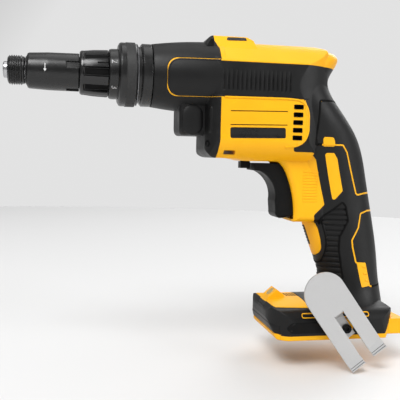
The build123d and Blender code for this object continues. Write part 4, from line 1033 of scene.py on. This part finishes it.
def makeBoss(setup):
    # half round across its length, with rounded ends, sunk a little in the surface; given for the left side
    points = []
    faces = []
    rings = setup["rings"]
    columns = setup["columns"]
    for mirror in (Vector((1.0, 1.0, 1.0)), Vector((1.0, -1.0, 1.0))):
        start = Vector(setup["start"]) * mirror
        end = Vector(setup["end"]) * mirror
        outward = (Vector(setup["outward"]) * mirror).normalized()
        along = (end - start).normalized()
        across = outward.cross(along).normalized()
        base = len(points)
        for ring in range(rings + 1):
            swing = math.pi * ring / rings - math.pi / 2
            middle = (start if ring <= rings / 2 else end) + along * math.sin(swing) * setup["radius"]
            reach = math.cos(swing)
            for column in range(columns):
                turn = fullTurn * column / columns
                sideways = across * math.cos(turn) * reach * setup["radius"]
                points.append((middle + sideways + outward * math.sin(turn) * reach * setup["rise"]) * mm)
        faces += ringFaces(base, rings + 1, columns, False)
    makePiece(setup["name"], points, faces, finishes["black_rubber"], "housing", angle=50.0)


makeBoss(columnBoss)
makeBoss(bossPad)

frontScrew = {
    "middle": (136.0, -19.3, -46.4), "outward": (-0.93, -0.37, 0.0), "columns": 48,
    "profile": [  # radius and lift, from the rim to the floor of the socket
        (2.5, -0.4), (2.5, 0.22), (2.3, 0.32), (2.05, 0.3), (1.95, 0.02), (1.75, 0.16), (1.1, 0.22),
        (0.95, -0.5), (0.2, -0.55),
    ],
    "socket": 1.2, "lobes": 6, "lobeRise": 0.12,
}


def makeFrontScrew(setup):
    points = []
    middle = Vector(setup["middle"])
    outward = Vector(setup["outward"]).normalized()
    across = outward.cross(Vector((0.0, 0.0, 1.0))).normalized()
    upward = across.cross(outward).normalized()
    columns = setup["columns"]
    for radius, lift in setup["profile"]:
        for column in range(columns):
            turn = fullTurn * column / columns
            lobed = 1.0
            if radius < setup["socket"]:
                lobed += setup["lobeRise"] * math.cos(setup["lobes"] * turn)
            away = (across * math.cos(turn) + upward * math.sin(turn)) * radius * lobed
            points.append((middle + away + outward * lift) * mm)
    faces = ringFaces(0, len(setup["profile"]), columns, False) + [lastRing(points, columns)]
    makePiece("frontScrew", points, faces, blackOxide, "housing")


makeFrontScrew(frontScrew)

# ribbed strip down the front of the grip

gripStrip = {
    "top": -104.0, "floor": -119.0, "half": 1.9, "pitch": 2.25, "rows": 72,
    "lift": 0.5, "rise": 0.5, "sink": 0.3, "fade": 0.03, "seam": 0.2, "castStart": 150.0,
    "shares": (-1.0, -0.97, -0.85, -0.45, 0.0, 0.45, 0.85, 0.97, 1.0), "shoulder": 0.9, "shoulderRise": 0.6,
}


def makeGripStrip(setup):
    points = []
    backward = Vector((1.0, 0.0, 0.0))
    for row in range(setup["rows"] + 1):
        share = row / setup["rows"]
        z = setup["top"] + (setup["floor"] - setup["top"]) * share
        wave = 0.5 - 0.5 * math.cos(fullTurn * (z - setup["top"]) / setup["pitch"])
        ending = min(1.0, share / setup["fade"], (1 - share) / setup["fade"])
        for across in setup["shares"]:
            full = 1.0 if abs(across) < setup["shoulder"] else setup["shoulderRise"]
            lift = (setup["lift"] + setup["rise"] * wave * wave * full) * ending
            if abs(across) == 1.0 or ending == 0.0:
                lift = -setup["sink"]
            y = across * setup["half"] or setup["seam"]  # beside the parting line
            hit = shellTree.ray_cast(Vector((setup["castStart"], y, z)) * mm, backward)[0]
            points.append(hit - backward * lift * mm)
    faces = ringFaces(0, setup["rows"] + 1, len(setup["shares"]), False, False)
    makePiece("gripStrip", points, faces, finishes["black_rubber"], "housing", angle=50.0)


makeGripStrip(gripStrip)

# dark ribbons of painted shade in the grooves across the back of the handle, and the dark front of the foot
# above its yellow rim

rearGroove = {
    "name": "rearGroove", "paths": [[(-9.0, -14.3), (9.0, -14.3)], [(-7.0, -148.2), (7.0, -148.2)]],
    "width": 1.9, "lift": 0.1, "place": onEnd, "sides": (1,),
}
footLip = {
    "name": "footLip", "paths": [[(-8.5, -163.0), (8.5, -163.0)]],
    "width": 1.6, "lift": 0.12, "place": onEnd, "sides": (-1,),
}
footApron = {
    "name": "footApron", "paths": [[(-29.0, -175.2), (29.0, -175.2)]],
    "width": 7.0, "lift": 0.4, "spacing": 0.4, "place": onEnd, "sides": (-1,),
}
footRim = {
    "name": "footRim", "paths": [[(-29.8, -180.5), (29.8, -180.5)]],
    "width": 3.9, "lift": 0.8, "place": onEnd, "sides": (-1,),
}
sidePiece(rearGroove, ribbonPart, shadeAndPrintBlack)
sidePiece(footLip, ribbonPart, finishes["black_rubber"])
sidePiece(footApron, ribbonPart, finishes["black_rubber"])
sidePiece(footRim, ribbonPart, finishes["yellow_plastic"])

# painted shade: dark fold lines near the tips of the belt hook

hookTree = joinedTree(["belt_hook"])
hookFoldShade = {
    "centre": (215.6637, -147.1858), "along": (0.585, -0.811), "places": [56.1, 54.6],
    "width": 0.4, "inner": 4.0, "outer": 14.8, "steps": 8,
    "profile": ((-0.5, -0.15), (-0.35, 0.05), (0.35, 0.05), (0.5, -0.15)),
}


def makeHookFoldShade(setup):
    points = []
    faces = []
    centre = Vector(setup["centre"])
    along = Vector(setup["along"]).normalized()
    across = Vector((-along.y, along.x))
    inward = Vector((0.0, 1.0, 0.0))
    for side in (-1, 1):
        for place in setup["places"]:
            base = len(points)
            for step in range(setup["steps"] + 1):
                sideways = side * (setup["inner"] + (setup["outer"] - setup["inner"]) * step / setup["steps"])
                for share, lift in setup["profile"]:
                    spot = centre + along * (place + share * setup["width"]) + across * sideways
                    start = Vector((spot.x * mm, -sideCast["start"], spot.y * mm))
                    hit, normal = hookTree.ray_cast(start, inward)[:2]
                    points.append(hit + normal * lift * mm)
            faces += ringFaces(base, setup["steps"] + 1, len(setup["profile"]), False)
    makePiece("hookFoldShade", points, faces, shadeAndPrintBlack, "housing")


makeHookFoldShade(hookFoldShade)

# a dark panel of painted shade on the side of the foot, plain bars on its top, and plain bars on the heel tab

footPanel = {
    "name": "footPanel",
    "paths": [[
        (196.0, -169.4), (224.5, -169.4), (226.5, -171.4), (226.5, -175.6), (224.5, -177.6), (196.5, -177.6),
        (192.2, -174.0),
    ]],
    "lift": 0.1, "corner": 2.0,
}
footMarks = {
    "level": -157.4, "start": 202.6, "pitch": 2.1, "count": 5, "half": 0.45, "near": -3.0, "far": 6.5,
    "rise": 0.15, "sink": 0.2, "corner": 0.4,
}
heelMarks = {
    "name": "heelMarks",
    "paths": [
        [(254.4, -133.6), (257.0, -133.8)],
        [(255.5, -138.6), (258.1, -138.8)],
        [(256.6, -143.6), (259.2, -143.8)],
    ],
    "width": 1.7, "lift": 0.3,
}


def makeFootMarks(setup):
    points = []
    faces = []
    for row in range(setup["count"]):
        middle = setup["start"] + setup["pitch"] * row
        front = middle - setup["half"]
        back = middle + setup["half"]
        corners = [(front, setup["near"]), (back, setup["near"]), (back, setup["far"]), (front, setup["far"])]
        outline = rounded(corners, setup["corner"], True)
        base = len(points)
        for rise in (-setup["sink"], setup["rise"]):
            points += [Vector((spot.x * mm, spot.y * mm, (setup["level"] + rise) * mm)) for spot in outline]
        faces += ringFaces(base, 2, len(outline), False)
        faces.append(lastRing(points, len(outline)))
    makePiece("footMarks", points, faces, shadeAndPrintBlack, "housing")


sidePiece(footPanel, patchPart, finishes["trigger_plastic"])
makeFootMarks(footMarks)
sidePiece(heelMarks, ribbonPart, finishes["yellow_plastic"])
print("small forms made")
